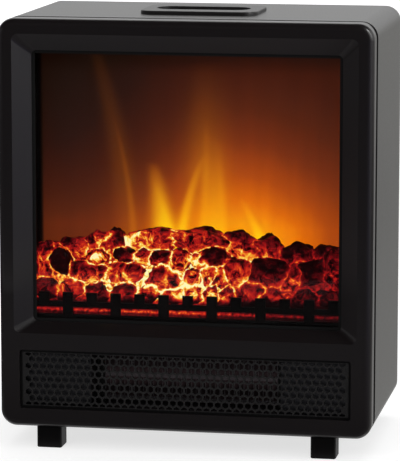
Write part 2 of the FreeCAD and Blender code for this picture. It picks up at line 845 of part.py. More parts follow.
def chamber_liner():
    """Black sheet-steel surround: two walls and a roof, flanged to the glass and to the screen."""
    pieces = []
    wall = chamber_half + s.sheet
    deep = (glass_back, screen_front)
    flanges = (
        ("front", (glass_back, glass_back + s.sheet)),
        ("rear", (screen_front - s.sheet, screen_front)),
    )
    for side, sign in SIDES:
        x = (-wall, -chamber_half) if sign < 0 else (chamber_half, wall)
        pieces.append(slab(f"liner_{side}", x, deep, (shelf_top, chamber_roof + s.sheet)))
        x = (-liner_half, -chamber_half) if sign < 0 else (chamber_half, liner_half)
        for end, y in flanges:
            pieces.append(slab(f"liner_{end}_flange_{side}", x, y, (shelf_top, liner_top)))
    pieces.append(slab("liner_roof", (-wall, wall), deep, (chamber_roof, chamber_roof + s.sheet)))
    for end, y in flanges:
        pieces.append(slab(f"liner_{end}_flange_top", (-liner_half, liner_half), y,
                           (chamber_roof, liner_top)))
    holes = [rod(f"liner_hole_{number}", "Y", (x, glass_back, z), s.screw_radius + s.screw_clearance, s.sheet)
             for number, (x, z) in enumerate(liner_screw_places())]
    node("chamber_liner", cut("liner", fuse("liner_sheets", pieces), holes))
    node("liner_screws", group("liner_screw_set", [
        screw(f"liner_screw_{number}", "Y", (x, glass_back + s.sheet, z), s.screw_length, 1)
        for number, (x, z) in enumerate(liner_screw_places())
    ]))


def fuel_shelf():
    """Sheet shelf between the heater below and the flame chamber above."""
    deep = (glass_back + s.fit, panel_in - s.fit)
    top = slab("shelf_plate", (-shelf_half, shelf_half), deep, (shelf_top - s.sheet, shelf_top))
    edges = [slab(f"shelf_edge_{side}",
                  (-shelf_half, s.sheet - shelf_half) if sign < 0 else (shelf_half - s.sheet, shelf_half),
                  deep, (shelf_top - s.shelf_flange, shelf_top)) for side, sign in SIDES]
    node("fuel_shelf", fuse("shelf", [top] + edges))


def flame_screen():
    node("flame_screen", slab("screen", (-screen_half, screen_half), (screen_front, screen_back),
                              (shelf_top, chamber_roof + s.screen_lap)))
    clips = []
    edge = screen_half + s.fit
    rise = (window_top - window_low) / 3
    for side, sign in SIDES:
        for step in (1, 2):
            z = (window_low + rise * step, window_low + rise * step + s.clip_width)
            spans = (
                ((screen_half - s.clip_reach, edge + s.sheet), (screen_back, screen_back + s.sheet)),
                ((edge, edge + s.sheet), (screen_front, screen_back + s.sheet)),
                ((edge, liner_half), (screen_front, screen_front + s.sheet)),
            )
            bends = []
            for number, (x, y) in enumerate(spans):
                x = (-x[1], -x[0]) if sign < 0 else x
                bends.append(slab(f"clip_{side}_{step}_{number}", x, y, z))
            clips.append(fuse(f"clip_{side}_{step}", bends))
    node("screen_clips", group("clips", clips))


def fire_grate():
    """Moulded fret in front of the coals: a sill and a rail joined by posts, with stubs on top."""
    across = chamber_half - s.grate_side_gap
    y = (grate_front, grate_back)
    sill_top = shelf_top + s.grate_sill
    slot_top = sill_top + s.grate_slot
    rail_top = slot_top + s.grate_rail
    fence = slab("grate_fence", (-across, across), y, (shelf_top, rail_top))
    half_bar = s.grate_bar / 2
    half_slot = s.grate_pitch - half_bar
    slots = []
    stubs = []
    for number, step in enumerate(range(-STUBS_EACH_SIDE, STUBS_EACH_SIDE + 1)):
        middle = s.grate_pitch * step
        stubs.append(slab(f"grate_stub_{number}", (middle - half_bar, middle + half_bar), y,
                          (slot_top, rail_top + s.grate_stub)))
        if step % POST_EVERY == 0:
            slots.append(slab(f"grate_slot_{number}", (middle - half_slot, middle + half_slot), y,
                              (sill_top, slot_top)))
    node("fire_grate", fuse("grate", [cut("grate_frame", fence, slots)] + stubs))


def lump(centre, radii, turn, seed):
    """One coal: an icosahedron with unequal corners, turned about Z."""
    golden = (1 + math.sqrt(5)) / 2
    corners = []
    for a in (-1, 1):
        for b in (-golden, golden):
            corners += [(0, a, b), (a, b, 0), (b, 0, a)]
    reach = math.hypot(1, golden)
    points = []
    for number, corner in enumerate(corners):
        swell = 1.0 + 0.16 * math.sin(2.4 * number + 1.7 * seed)
        x, y, z = (value * swell / reach for value in corner)
        x, y = x * math.cos(turn) - y * math.sin(turn), x * math.sin(turn) + y * math.cos(turn)
        offset = FreeCAD.Vector(x * radii[0], y * radii[1], z * radii[2])
        points.append(FreeCAD.Vector(*centre) + offset)
    faces = []
    edge = 2.01
    near = [[math.dist(p, q) < edge for q in corners] for p in corners]
    count = len(corners)
    for i in range(count):
        for j in range(i + 1, count):
            for k in range(j + 1, count):
                if near[i][j] and near[j][k] and near[i][k]:
                    faces.append(Part.Face(Part.makePolygon([points[i], points[j], points[k], points[i]])))
    solid = Part.Solid(Part.Shell(faces))
    if solid.Volume < 0:
        solid.reverse()
    return solid


def coal_bed():
    """One translucent moulding: a sloping bank with rows of coals standing half out of it."""
    low = shelf_top.value
    y0 = grate_back.value
    y1 = screen_front.value - s.sheet.value
    across = chamber_half.value - s.grate_side_gap.value
    knee = (y0 + s.coal_knee_setback.value, low + s.coal_knee_height.value)
    profile = [(y0, low), (y1, low), (y1, low + s.coal_base_back.value), knee,
               (y0, low + s.coal_base_front.value), (y0, low)]
    wire = Part.makePolygon([FreeCAD.Vector(-across, y, z) for y, z in profile])
    bank = Part.Face(wire).extrude(FreeCAD.Vector(2 * across, 0, 0))
    rows = (
        (LOW_COALS, s.coal_low_setback.value),
        (MIDDLE_COALS, s.coal_middle_setback.value),
        (TOP_COALS, s.coal_top_setback.value),
    )
    lumps = []
    for coals, setback in rows:
        for x, rise, width, height in coals:
            radii = (0.55 * width, 0.55 * s.coal_deep.value, 0.55 * height)
            lumps.append(lump((x, y0 + setback, low + rise), radii, 0.4 * math.sin(x), x))
    pile = bank.multiFuse(lumps)
    room = Part.makeBox(2 * across, y1 - y0, s.casing_height.value, FreeCAD.Vector(-across, y0, low))
    piece = doc.addObject("Part::Feature", "coal_bed")
    piece.Shape = pile.common(room).removeSplitter()
    node("coal_bed", piece)


# Flame-effect lamps and flicker rod


def led_lamps():
    """A strip of lamps behind the foot of the screen, on a bent bracket."""
    half = s.led_board_width / 2
    upright = (front + s.led_setback, front + s.led_setback + s.sheet)
    board = (upright[1], upright[1] + s.led_board_thickness)
    low = shelf_top + s.led_board_rise
    node("led_bracket", fuse("led_angle", [
        slab("led_upright", (-half, half), upright, (shelf_top, shelf_top + s.led_bracket_height)),
        slab("led_foot", (-half, half), (upright[0], upright[0] + s.led_bracket_foot),
             (shelf_top, shelf_top + s.sheet)),
    ]))
    node("led_board", slab("led_strip", (-half, half), board, (low, low + s.led_board_height)))
    middle = low + s.led_board_height / 2
    pitch = s.led_board_width / LED_COUNT
    lamps = []
    for number in range(LED_COUNT):
        x = pitch * (number + 0.5) - half
        lamps.append(slab(f"led_{number}", (x - s.led_side / 2, x + s.led_side / 2),
                          (board[1], board[1] + s.led_thickness),
                          (middle - s.led_side / 2, middle + s.led_side / 2)))
    node("led_lamps", group("leds", lamps))


def flicker_rod():
    """The turning rod and its mirror vanes; its right end runs into the motor."""
    length = s.rod_left + s.rod_right + s.bracket_thickness + s.output_shaft_depth
    node("flicker_rod", rod("rod", "X", (-s.rod_left, rod_y, rod_z), s.rod_radius, length))
    hubs = []
    start = (s.rod_right - s.rod_left) / 2 - s.vane_pitch * ((VANE_HUBS - 1) / 2)
    for number in range(VANE_HUBS):
        x = start + s.vane_pitch * number
        turn = math.radians(VANE_TURN * number)
        blade = doc.addObject("Part::Box", f"vane_{number}")
        blade.Placement = FreeCAD.Placement(
            FreeCAD.Vector(), FreeCAD.Rotation(FreeCAD.Vector(1, 0, 0), VANE_TURN * number))
        bind(blade, "Length", s.vane_width)
        bind(blade, "Width", s.vane_reach * 2)
        bind(blade, "Height", s.vane_thickness)
        half = s.vane_thickness / 2
        place(blade, x - s.vane_width / 2, rod_y - s.vane_reach * math.cos(turn) + half * math.sin(turn),
              rod_z - s.vane_reach * math.sin(turn) - half * math.cos(turn))
        hub = rod(f"hub_{number}", "X", (x - s.vane_hub_length / 2, rod_y, rod_z), s.vane_hub_radius,
                  s.vane_hub_length)
        bore = rod(f"hub_bore_{number}", "X", (x - s.vane_width, rod_y, rod_z), s.rod_radius,
                   s.vane_width * 2)
        hubs.append(cut(f"vane_hub_{number}", fuse(f"vane_blank_{number}", [hub, blade]), [bore]))
    node("flicker_vanes", group("vanes", hubs))


def flicker_mounts():
    """The motor and its bracket on the right, the bush and its bracket on the left."""
    y = (rod_y - s.bracket_width / 2, rod_y + s.bracket_width / 2)
    plate = (s.rod_right, s.rod_right + s.bracket_thickness)
    wide = (rod_y - s.flicker_motor_radius, rod_y + s.flicker_motor_radius)
    blank = fuse("motor_angle", [
        slab("motor_plate", plate, wide, (shelf_top, rod_z + s.flicker_motor_radius)),
        slab("motor_foot", (plate[0], plate[0] + s.bracket_foot), (wide[0], wide[0] + s.bracket_foot),
             (shelf_top, shelf_top + s.bracket_thickness)),
    ])
    hole = rod("motor_plate_hole", "X", (plate[0], rod_y, rod_z), s.bush_radius, s.bracket_thickness)
    node("motor_bracket", cut("motor_angle_holed", blank, [hole]))
    can = rod("motor_can", "X", (plate[1], rod_y, rod_z), s.flicker_motor_radius, s.flicker_motor_length)
    bore = rod("motor_bore", "X", (plate[1], rod_y, rod_z), s.rod_radius + s.running_fit,
               s.output_shaft_depth + s.fit)
    node("flicker_motor", cut("motor_body", can, [bore]))

    bush_x = -(s.rod_left - s.fit)
    upright = (bush_x + s.bush_length / 2, bush_x + s.bush_length / 2 + s.bracket_thickness)
    blank = fuse("rod_angle", [
        slab("rod_plate", upright, y, (shelf_top, rod_z + s.bracket_head)),
        slab("rod_foot", (upright[1] - s.bracket_foot, upright[1]), y,
             (shelf_top, shelf_top + s.bracket_thickness)),
    ])
    hole = rod("rod_plate_hole", "X", (upright[0], rod_y, rod_z), s.bush_radius, s.bracket_thickness)
    node("rod_bracket", cut("rod_angle_holed", blank, [hole]))
    outer = rod("bush_outer", "X", (bush_x, rod_y, rod_z), s.bush_radius, s.bush_length)
    bore = rod("bush_bore", "X", (bush_x, rod_y, rod_z), s.rod_radius + s.running_fit, s.bush_length)
    node("rod_bush", cut("bush", outer, [bore]))


# Fan heater


def hexagon(x, z, reach, y, low, high):
    """A hexagon on its point, flattened where the hole field ends inside it."""
    across = reach * math.sqrt(3) / 2
    outline_points = ((0, -reach), (across, -reach / 2), (across, reach / 2),
                      (0, reach), (-across, reach / 2), (-across, -reach / 2))
    kept = [(x + dx, z + dz) for dx, dz in outline_points if low <= z + dz <= high]
    if z - reach < low:
        kept += [(x - across, low), (x + across, low)]
    if z + reach > high:
        kept += [(x + across, high), (x - across, high)]
    middle = sum(spot[1] for spot in kept) / len(kept)
    ring = sorted(kept, key=lambda spot: math.atan2(spot[1] - middle, spot[0] - x))
    return Part.makePolygon([FreeCAD.Vector(px, y, pz) for px, pz in ring + ring[:1]])


def outlet_grille():
    """Perforated plate in the bezel's rear rebate: staggered hexagons, the end rows cut by half."""
    y = front.value + s.grille_lip.value
    across = grille_half.value + s.grille_lap.value
    low = grille_low.value - s.grille_lap.value
    high = grille_high.value + s.grille_lap.value
    border = [(-across, low), (across, low), (across, high), (-across, high), (-across, low)]
    wires = [Part.makePolygon([FreeCAD.Vector(x, y, z) for x, z in border])]
    pitch = s.hole_pitch.value
    reach = (pitch - s.hole_web.value) / math.sqrt(3)
    field_low = grille_low.value + s.grille_margin.value
    field_high = grille_high.value - s.grille_margin.value
    rows = int((field_high - field_low) / (pitch * math.sqrt(3) / 2)) + 1
    row_pitch = (field_high - field_low) / (rows - 1)
    columns = int(2 * (grille_half.value - s.grille_margin.value) / pitch)
    for row in range(rows):
        stagger = row % 2
        for column in range(columns - stagger):
            x = pitch * (column + 0.5 * stagger - (columns - 1) / 2)
            wires.append(hexagon(x, field_low + row * row_pitch, reach, y, field_low, field_high))
    plate = Part.makeFace(wires, "Part::FaceMakerBullseye")
    piece = doc.addObject("Part::Feature", "outlet_grille")
    piece.Shape = plate.extrude(FreeCAD.Vector(0, s.grille_thickness.value, 0))
    node("outlet_grille", piece)


def outlet_duct():
    """Sheet duct from the blower to the grille; its wide flange closes the grille's ends."""
    across = duct_half + s.sheet
    flange_half = half_width - neck_inset - s.fit
    flange = slab("duct_flange", (-flange_half, flange_half), (duct_front, duct_front + s.sheet),
                  (grille_low - s.duct_flange, grille_high + s.duct_flange))
    tube = slab("duct_outer", (-across, across), (duct_front, duct_back),
                (duct_low - s.sheet, duct_high + s.sheet))
    bore = slab("duct_inner", (-duct_half, duct_half), (duct_front, duct_back), (duct_low, duct_high))
    holes = [rod(f"duct_hole_{number}", "Y", (x, duct_front, z), s.screw_radius + s.screw_clearance, s.sheet)
             for number, (x, z) in enumerate(duct_screw_places())]
    node("outlet_duct", cut("duct", fuse("duct_blank", [flange, tube]), [bore] + holes))
    node("duct_screws", group("duct_screw_set", [
        screw(f"duct_screw_{number}", "Y", (x, duct_front + s.sheet, z), s.duct_setback - s.grille_lip, 1)
        for number, (x, z) in enumerate(duct_screw_places())
    ]))


def heater_core():
    """Finned aluminium heater between three flat bars, carried by an end frame on each side."""
    across = duct_half.value - s.heater_frame.value
    low = duct_low.value + s.heater_gap.value
    high = duct_high.value - s.heater_gap.value
    y = heater_front.value
    border = [(-across, low), (across, low), (across, high), (-across, high), (-across, low)]
    wires = [Part.makePolygon([FreeCAD.Vector(x, y, z) for x, z in border])]
    bar = s.heater_bar.value
    row_height = (high - low - bar * (FIN_ROWS + 1)) / FIN_ROWS
    gaps = int((2 * across - s.fin_thickness.value) / s.fin_pitch.value)
    pitch = (2 * across - s.fin_thickness.value) / gaps
    for row in range(FIN_ROWS):
        z0 = low + bar + row * (row_height + bar)
        for gap in range(gaps):
            x0 = -across + s.fin_thickness.value + gap * pitch
            x1 = x0 + pitch - s.fin_thickness.value
            spots = [(x0, z0), (x1, z0), (x1, z0 + row_height), (x0, z0 + row_height), (x0, z0)]
            wires.append(Part.makePolygon([FreeCAD.Vector(x, y, z) for x, z in spots]))
    piece = doc.addObject("Part::Feature", "heater_core")
    piece.Shape = Part.makeFace(wires, "Part::FaceMakerBullseye").extrude(
        FreeCAD.Vector(0, s.heater_depth.value, 0))
    node("heater_core", piece)
    inner = duct_half - s.heater_frame
    node("heater_frames", group("frames", [
        slab(f"heater_frame_{side}", (-duct_half, -inner) if sign < 0 else (inner, duct_half),
             (heater_front, heater_back), (duct_low, duct_high)) for side, sign in SIDES
    ]))
    node("thermal_cutout", rod("cutout", "Z", (s.cutout_offset, (heater_front + heater_back) / 2,
                                               duct_high + s.sheet), s.cutout_radius, s.cutout_height))


def blower_housing():
    """Scroll behind and under the impeller, tongue above it, and the two end plates."""
    across = (-duct_half, duct_half)
    outer = rod("scroll_outer", "X", (-duct_half, blower_y, blower_z), s.scroll_radius + s.sheet,
                s.duct_width)
    bind(outer, "Angle", s.scroll_angle)
    inner = rod("scroll_inner", "X", (-duct_half, blower_y, blower_z), s.scroll_radius, s.duct_width)
    floor = slab("scroll_floor", across, (duct_back, blower_y), (duct_low - s.sheet, duct_low))
    node("blower_scroll", fuse("scroll", [cut("scroll_shell", outer, [inner]), floor]))
    tip = blower_y - s.tongue_gap
    node("blower_tongue", fuse("tongue", [
        slab("tongue_roof", across, (duct_back, tip), (duct_high, duct_high + s.sheet)),
        slab("tongue_edge", across, (tip - s.sheet, tip), (duct_high - s.tongue_lip, duct_high + s.sheet)),
    ]))
    y = (duct_back, blower_y + s.scroll_radius + s.end_plate_overhang)
    z = (duct_low - s.sheet, duct_high + s.sheet)
    for side, sign in SIDES:
        x = (-end_plate_out, -duct_half) if sign < 0 else (duct_half, end_plate_out)
        plate = slab(f"end_plate_{side}", x, y, z)
        hole = rod(f"end_plate_hole_{side}", "X", (x[0], blower_y, blower_z), s.bearing_radius, s.end_plate)
        node(f"blower_end_plate_{side}", cut(f"end_plate_{side}_holed", plate, [hole]))
    bearing_x = duct_half - (s.bearing_length - s.end_plate) / 2
    outer = rod("bearing_outer", "X", (bearing_x, blower_y, blower_z), s.bearing_radius, s.bearing_length)
    bore = rod("bearing_bore", "X", (bearing_x, blower_y, blower_z), s.shaft_radius + s.running_fit,
               s.bearing_length)
    node("blower_bearing", cut("bearing", outer, [bore]))
    return bearing_x + s.bearing_length


def blower_impeller():
    """Cross-flow drum: leaning blades through three discs."""
    half = duct_half - s.impeller_gap
    blades = []
    middle_radius = s.impeller_radius - s.blade_depth * 0.55
    for number in range(IMPELLER_BLADES):
        turn = 360.0 * number / IMPELLER_BLADES
        lean = math.radians(turn + BLADE_LEAN)
        blade = doc.addObject("Part::Box", f"blade_{number}")
        blade.Placement = FreeCAD.Placement(
            FreeCAD.Vector(), FreeCAD.Rotation(FreeCAD.Vector(1, 0, 0), turn + BLADE_LEAN))
        bind(blade, "Length", half * 2)
        bind(blade, "Width", s.blade_depth)
        bind(blade, "Height", s.blade_thickness)
        place(blade, -half,
              blower_y + middle_radius * math.cos(math.radians(turn)) - s.blade_depth / 2 * math.cos(lean),
              blower_z + middle_radius * math.sin(math.radians(turn)) - s.blade_depth / 2 * math.sin(lean))
        blades.append(blade)
    discs = [rod(f"disc_{number}", "X", (half * step - s.disc_thickness / 2 * (1 + step), blower_y, blower_z),
                 s.impeller_radius, s.disc_thickness) for number, step in enumerate((-1, 0, 1))]
    bore = rod("impeller_bore", "X", (-half, blower_y, blower_z), s.shaft_radius, half * 2)
    node("blower_impeller", cut("impeller", fuse("impeller_blank", blades + discs), [bore]))


def blower_motor(shaft_end):
    """Shaded-pole motor beside the left end plate, with its rotor on the impeller's shaft."""
    near = -(end_plate_out + s.motor_spacer)
    bridge_near = (near - s.motor_bridge, near)
    stator = (bridge_near[0] - s.motor_post - s.stator_length, bridge_near[0] - s.motor_post)
    bridge_far = (stator[0] - s.motor_post - s.motor_bridge, stator[0] - s.motor_post)
    node("blower_shaft", rod("shaft", "X", (bridge_far[0], blower_y, blower_z), s.shaft_radius,
                             shaft_end - bridge_far[0]))
    square = (blower_y - s.bridge_half, blower_y + s.bridge_half)
    rise = (blower_z - s.bridge_half, blower_z + s.bridge_half)
    posts_at = [(a, b) for a in (-1, 1) for b in (-1, 1)]
    bridges = []
    spans = (("near", bridge_near, (stator[1], near + s.motor_spacer)),
             ("far", bridge_far, (bridge_far[1], stator[0])))
    for name, x, span in spans:
        posts = [rod(f"post_{name}_{number}", "X",
                     (span[0], blower_y + s.motor_post_offset * a, blower_z + s.motor_post_offset * b),
                     s.motor_post_radius, span[1] - span[0]) for number, (a, b) in enumerate(posts_at)]
        blank = fuse(f"bridge_{name}_blank", [slab(f"bridge_{name}", x, square, rise)] + posts)
        bore = rod(f"bridge_{name}_bore", "X", (x[0], blower_y, blower_z), s.shaft_radius + s.running_fit,
                   s.motor_bridge)
        bridges.append(cut(f"bridge_{name}_bored", blank, [bore]))
    node("motor_bridges", group("bridges", bridges))
    tail = blower_y + s.stator_tail
    limb = tail - s.stator_limb
    window_start = limb - s.coil_wall - s.fit * 2
    stack = slab("stack", stator, (blower_y - s.stator_half, tail),
                 (blower_z - s.stator_half, blower_z + s.stator_half))
    pole = rod("pole_bore", "X", (stator[0], blower_y, blower_z), s.rotor_radius + s.rotor_gap,
               s.stator_length)
    gap = s.coil_half + s.fit
    slot = slab("coil_slot", stator, (window_start, limb), (blower_z - gap, blower_z + gap))
    node("motor_stator", cut("stator", stack, [pole, slot]))
    rotor = rod("rotor_blank", "X", (stator[0], blower_y, blower_z), s.rotor_radius, s.stator_length)
    rotor_bore = rod("rotor_bore", "X", (stator[0], blower_y, blower_z), s.shaft_radius, s.stator_length)
    node("motor_rotor", cut("rotor", rotor, [rotor_bore]))
    z = (blower_z - s.coil_half, blower_z + s.coil_half)
    winding = slab("winding", (stator[0] - s.coil_wall, stator[1] + s.coil_wall),
                   (limb - s.coil_wall - s.fit, tail + s.coil_wall + s.fit), z)
    core = slab("winding_core", (stator[0] - s.fit, stator[1] + s.fit), (limb - s.fit, tail + s.fit), z)
    node("motor_coil", cut("coil", winding, [core]))


# Back of the casing


def rear_panel():
    """Back sheet with air inlet slots below, vents above, and openings for the controls and cord."""
    inset = s.casing_wall + s.fit
    body = doc.addObject("PartDesign::Body", "rear_sheet")
    sheet_outline = sketch_at(body, "XZ_Plane", panel_in, "rear_outline")
    draw_rectangle(sheet_outline, "outer", *outline(inset))
    pad(body, sheet_outline, s.sheet, 1)
    tools = []
    y = (panel_in, panel_out)
    rows = [("inlet", row, casing_bottom + s.inlet_rise + s.vent_pitch * row) for row in range(INLET_ROWS)]
    rows += [("vent", row, casing_top - s.top_vent_drop + s.vent_pitch * row) for row in range(TOP_VENT_ROWS)]
    for kind, row, z in rows:
        for column in VENT_COLUMNS:
            middle = s.vent_column_pitch * column
            span = (middle - s.vent_width / 2, middle + s.vent_width / 2)
            tools.append(slab(f"{kind}_{row}_{column + 1}", span, y, (z, z + s.vent_height)))
    across = s.control_width / 2 - s.control_window
    rise = s.control_height / 2 - s.control_window
    tools.append(slab("control_opening", (-across, across), y, (control_z - rise, control_z + rise)))
    cord_x = half_width - s.cord_bush_inset
    cord_z = casing_bottom + s.cord_bush_rise
    tools.append(rod("cord_hole", "Y", (cord_x, panel_in, cord_z), s.cord_bush_radius, s.sheet))
    holes = [(x, z) for x, z in rear_screw_places() + control_screw_places()]
    tools += [rod(f"rear_hole_{number}", "Y", (x, panel_in, z), s.screw_radius + s.screw_clearance, s.sheet)
              for number, (x, z) in enumerate(holes)]
    node("rear_panel", cut("rear_sheet_cut", body, tools))
    node("rear_panel_screws", group("rear_screw_set", [
        screw(f"rear_screw_{number}", "Y", (x, panel_out, z), s.screw_length - s.screw_head, 1)
        for number, (x, z) in enumerate(rear_screw_places())
    ]))
    lip = rod("bush_lip", "Y", (cord_x, panel_out, cord_z), s.cord_bush_flange, s.cord_bush_lip)
    barrel = rod("bush_barrel", "Y", (cord_x, panel_out - s.cord_bush_length, cord_z), s.cord_bush_radius,
                 s.cord_bush_length)
    bore = rod("cord_bore", "Y", (cord_x, panel_out - s.cord_bush_length, cord_z), s.cord_bush_bore,
               s.cord_bush_length + s.cord_bush_lip)
    node("cord_bush", cut("cord_gland", fuse("cord_gland_blank", [lip, barrel]), [bore]))


def terminal_block():
    x0 = half_width - s.terminal_inset
    y = (panel_in - s.terminal_depth, panel_in)
    z0 = casing_bottom + s.flange_width + s.inlet_rise + s.vent_pitch * INLET_ROWS
    block = slab("terminals", (x0, x0 + s.terminal_width), y, (z0, z0 + s.terminal_height))
    pitch = s.terminal_width / TERMINAL_WAYS
    bores = [rod(f"way_{number}", "Z", (x0 + pitch * (number + 0.5), panel_in - s.terminal_depth / 2, z0),
                 s.terminal_bore, s.terminal_height) for number in range(TERMINAL_WAYS)]
    node("terminal_block", cut("terminal_body", block, bores))


def switch_housing(name, x):
    """A flanged switch body with a well for its rocker and holes for the rocker's pin."""
    well = s.rocker_width / 2 + s.fit
    body_half = well + s.switch_wall
    well_rise = s.rocker_radius + s.fit
    body_rise = well_rise + s.switch_wall
    face = control_out + s.switch_flange_height
    floor = face - s.switch_depth + s.switch_floor
    blank = fuse(f"{name}_switch_blank", [
        slab(f"{name}_switch_body", (x - body_half, x + body_half), (face - s.switch_depth, face),
             (control_z - body_rise, control_z + body_rise)),
        slab(f"{name}_switch_rim", (x - body_half - s.switch_flange, x + body_half + s.switch_flange),
             (control_out, face),
             (control_z - body_rise - s.switch_flange, control_z + body_rise + s.switch_flange)),
    ])
    return cut(f"{name}_switch", blank, [
        slab(f"{name}_well", (x - well, x + well), (floor, face),
             (control_z - well_rise, control_z + well_rise)),
        rod(f"{name}_pin_holes", "X", (x - body_half, pivot_y, control_z),
            s.rocker_pin_radius + s.running_fit, body_half * 2),
    ])


def rocker(name, x):
    """A dished rocker, drawn about its pin and then tipped to its off side."""
    half = s.rocker_width / 2
    drum = rod(f"{name}_drum", "X", (-half, nought, nought), s.rocker_radius, s.rocker_width)
    keep = slab(f"{name}_keep", (-half, half), (-s.rocker_belly, s.rocker_rise),
                (-s.rocker_radius, s.rocker_radius))
    paddle = doc.addObject("Part::Common", f"{name}_paddle")
    paddle.Base = drum
    paddle.Tool = keep
    dish = rod(f"{name}_dish", "X", (-half, s.rocker_rise + s.rocker_dish_radius - s.rocker_dish, nought),
               s.rocker_dish_radius, s.rocker_width)
    reach = half + s.fit + s.switch_wall
    pin = rod(f"{name}_pin", "X", (-reach, nought, nought), s.rocker_pin_radius, reach * 2)
    piece = fuse(f"{name}_rocker_shape", [cut(f"{name}_dished", paddle, [dish]), pin])
    piece.Placement.Rotation = FreeCAD.Rotation(FreeCAD.Vector(1, 0, 0), s.rocker_tilt.value)
    place(piece, x, pivot_y, control_z)
    node(f"{name}_rocker", piece)


def controls():
    """Control plate on the back with three rocker switches and the thermostat's knob."""
    across = s.control_width / 2
    rise = s.control_height / 2
    plate = slab("control_blank", (-across, across), (panel_out, control_out),
                 (control_z - rise, control_z + rise))
    body_half = s.rocker_width / 2 + s.fit + s.switch_wall
    body_rise = s.rocker_radius + s.fit + s.switch_wall
    tools = [slab(f"{name}_cutout", (x - body_half, x + body_half), (panel_out, control_out),
                  (control_z - body_rise, control_z + body_rise)) for name, x in switch_places()]
    tools.append(rod("neck_hole", "Y", (s.knob_offset, panel_out, control_z), s.thermostat_neck,
                     s.control_thickness))
    tools += [rod(f"control_hole_{number}", "Y", (x, panel_out, z), s.screw_radius + s.screw_clearance,
                  s.control_thickness) for number, (x, z) in enumerate(control_screw_places())]
    node("control_plate", cut("control", plate, tools))
    node("control_screws", group("control_screw_set", [
        screw(f"control_screw_{number}", "Y", (x, control_out, z), s.control_thickness + s.sheet * 2, 1)
        for number, (x, z) in enumerate(control_screw_places())
    ]))
    node("switch_housings", group("switches", [switch_housing(name, x) for name, x in switch_places()]))
    for name, x in switch_places():
        rocker(name, x)


def thermostat():
    """Thermostat clamped behind the control plate, with its turning spindle and knob."""
    x = s.knob_offset
    half = s.thermostat_side / 2
    box = slab("thermostat_box", (x - half, x + half), (panel_in - s.thermostat_depth + s.sheet, panel_out),
               (control_z - half, control_z + half))
    neck = rod("thermostat_neck_bar", "Y", (x, panel_out, control_z), s.thermostat_neck,
               s.control_thickness + s.fit)
    spindle_start = panel_in - s.thermostat_depth / 2
    bore = rod("spindle_bore", "Y", (x, spindle_start - s.fit, control_z), s.spindle_radius + s.running_fit,
               s.thermostat_depth)
    node("thermostat_body", cut("thermostat", fuse("thermostat_blank", [box, neck]), [bore]))
    knob_front = control_out + s.fit * 2
    knob_back = knob_front + s.knob_height
    node("thermostat_spindle", rod("spindle", "Y", (x, spindle_start, control_z), s.spindle_radius,
                                   knob_back - spindle_start))
    disc = rod("knob_disc", "Y", (x, knob_front, control_z), s.knob_radius, s.knob_height)
    ridge = slab("knob_ridge", (x - s.knob_ridge / 2, x + s.knob_ridge / 2),
                 (knob_front, knob_back + s.knob_ridge_height),
                 (control_z - s.knob_radius + s.fit, control_z + s.knob_radius - s.fit))
    bore = rod("knob_bore", "Y", (x, knob_front, control_z), s.spindle_radius, s.knob_height)
    node("thermostat_knob", cut("knob", fuse("knob_blank", [disc, ridge]), [bore]))


def tip_switch():
    """Tip-over switch on the casing floor: its plunger is held in by the table."""
    floor = casing_bottom + s.casing_wall
    half = s.tip_side / 2
    collar_low = s.plunger_rise
    block = slab("tip_block", (tip_x - half, tip_x + half), (tip_y - half, tip_y + half),
                 (floor, floor + s.tip_height))
    shaft_hole = rod("tip_bore", "Z", (tip_x, tip_y, floor), s.plunger_radius + s.fit,
                     s.plunger_top + s.fit * 2 - floor)
    chamber = rod("tip_chamber", "Z", (tip_x, tip_y, collar_low - s.plunger_travel - s.fit),
                  s.plunger_collar + s.fit, s.plunger_travel + s.plunger_collar_height + s.fit * 2)
    node("tip_switch_body", cut("tip_body", block, [shaft_hole, chamber]))
    node("tip_switch_plunger", fuse("plunger", [
        rod("plunger_pin", "Z", (tip_x, tip_y, nought), s.plunger_radius, s.plunger_top),
        rod("plunger_ring", "Z", (tip_x, tip_y, collar_low), s.plunger_collar, s.plunger_collar_height),
    ]))


# Carry handle


def carry_handle():
    """Raised plate with a finger slot, over a cup that leaves room to curl the fingers."""
    across = s.handle_width / 2
    plate = doc.addObject("PartDesign::Body", "handle_plate_body")
    top = sketch_at(plate, "XY_Plane", casing_top, "handle_outline")
    draw_rectangle(top, "plate", -across, across, handle_front, handle_back, s.handle_corner)
    pad(plate, top, s.handle_rise, 1)
    round_edges(plate, "handle_edge", s.handle_edge, lies_at("Z", handle_top))
    collar = sketch_at(plate, "XY_Plane", casing_top, "handle_collar")
    inset = s.handle_lap
    draw_rectangle(collar, "collar", inset - across, across - inset, handle_front + inset,
                   handle_back - inset, s.handle_corner - inset)
    pad(plate, collar, s.handle_collar, -1)
    slot = sketch_at(plate, "XY_Plane", handle_top, "finger_slot")
    draw_rectangle(slot, "slot", -s.slot_width / 2, s.slot_width / 2, slot_front, slot_back, s.slot_corner)
    pocket(plate, slot, s.handle_rise + s.handle_collar, -1)
    node("handle_plate", plate)

    cup = doc.addObject("PartDesign::Body", "handle_cup_body")
    cup_top = casing_top - s.handle_collar
    walls = sketch_at(cup, "XY_Plane", cup_top, "cup_outline")
    draw_rectangle(walls, "cup", inset - across, across - inset, handle_front + inset, handle_back - inset,
                   s.handle_corner - inset)
    pad(cup, walls, s.cup_depth, -1)
    inset = s.handle_lap + s.cup_wall
    hollow = sketch_at(cup, "XY_Plane", cup_top, "cup_hollow")
    draw_rectangle(hollow, "hollow", inset - across, across - inset, handle_front + inset,
                   handle_back - inset, s.handle_corner - inset)
    pocket(cup, hollow, s.cup_depth - s.cup_wall, -1)
    round_edges(cup, "cup_floor", s.cup_wall, lies_at("Z", cup_top - s.cup_depth + s.cup_wall))
    node("handle_cup", cup)


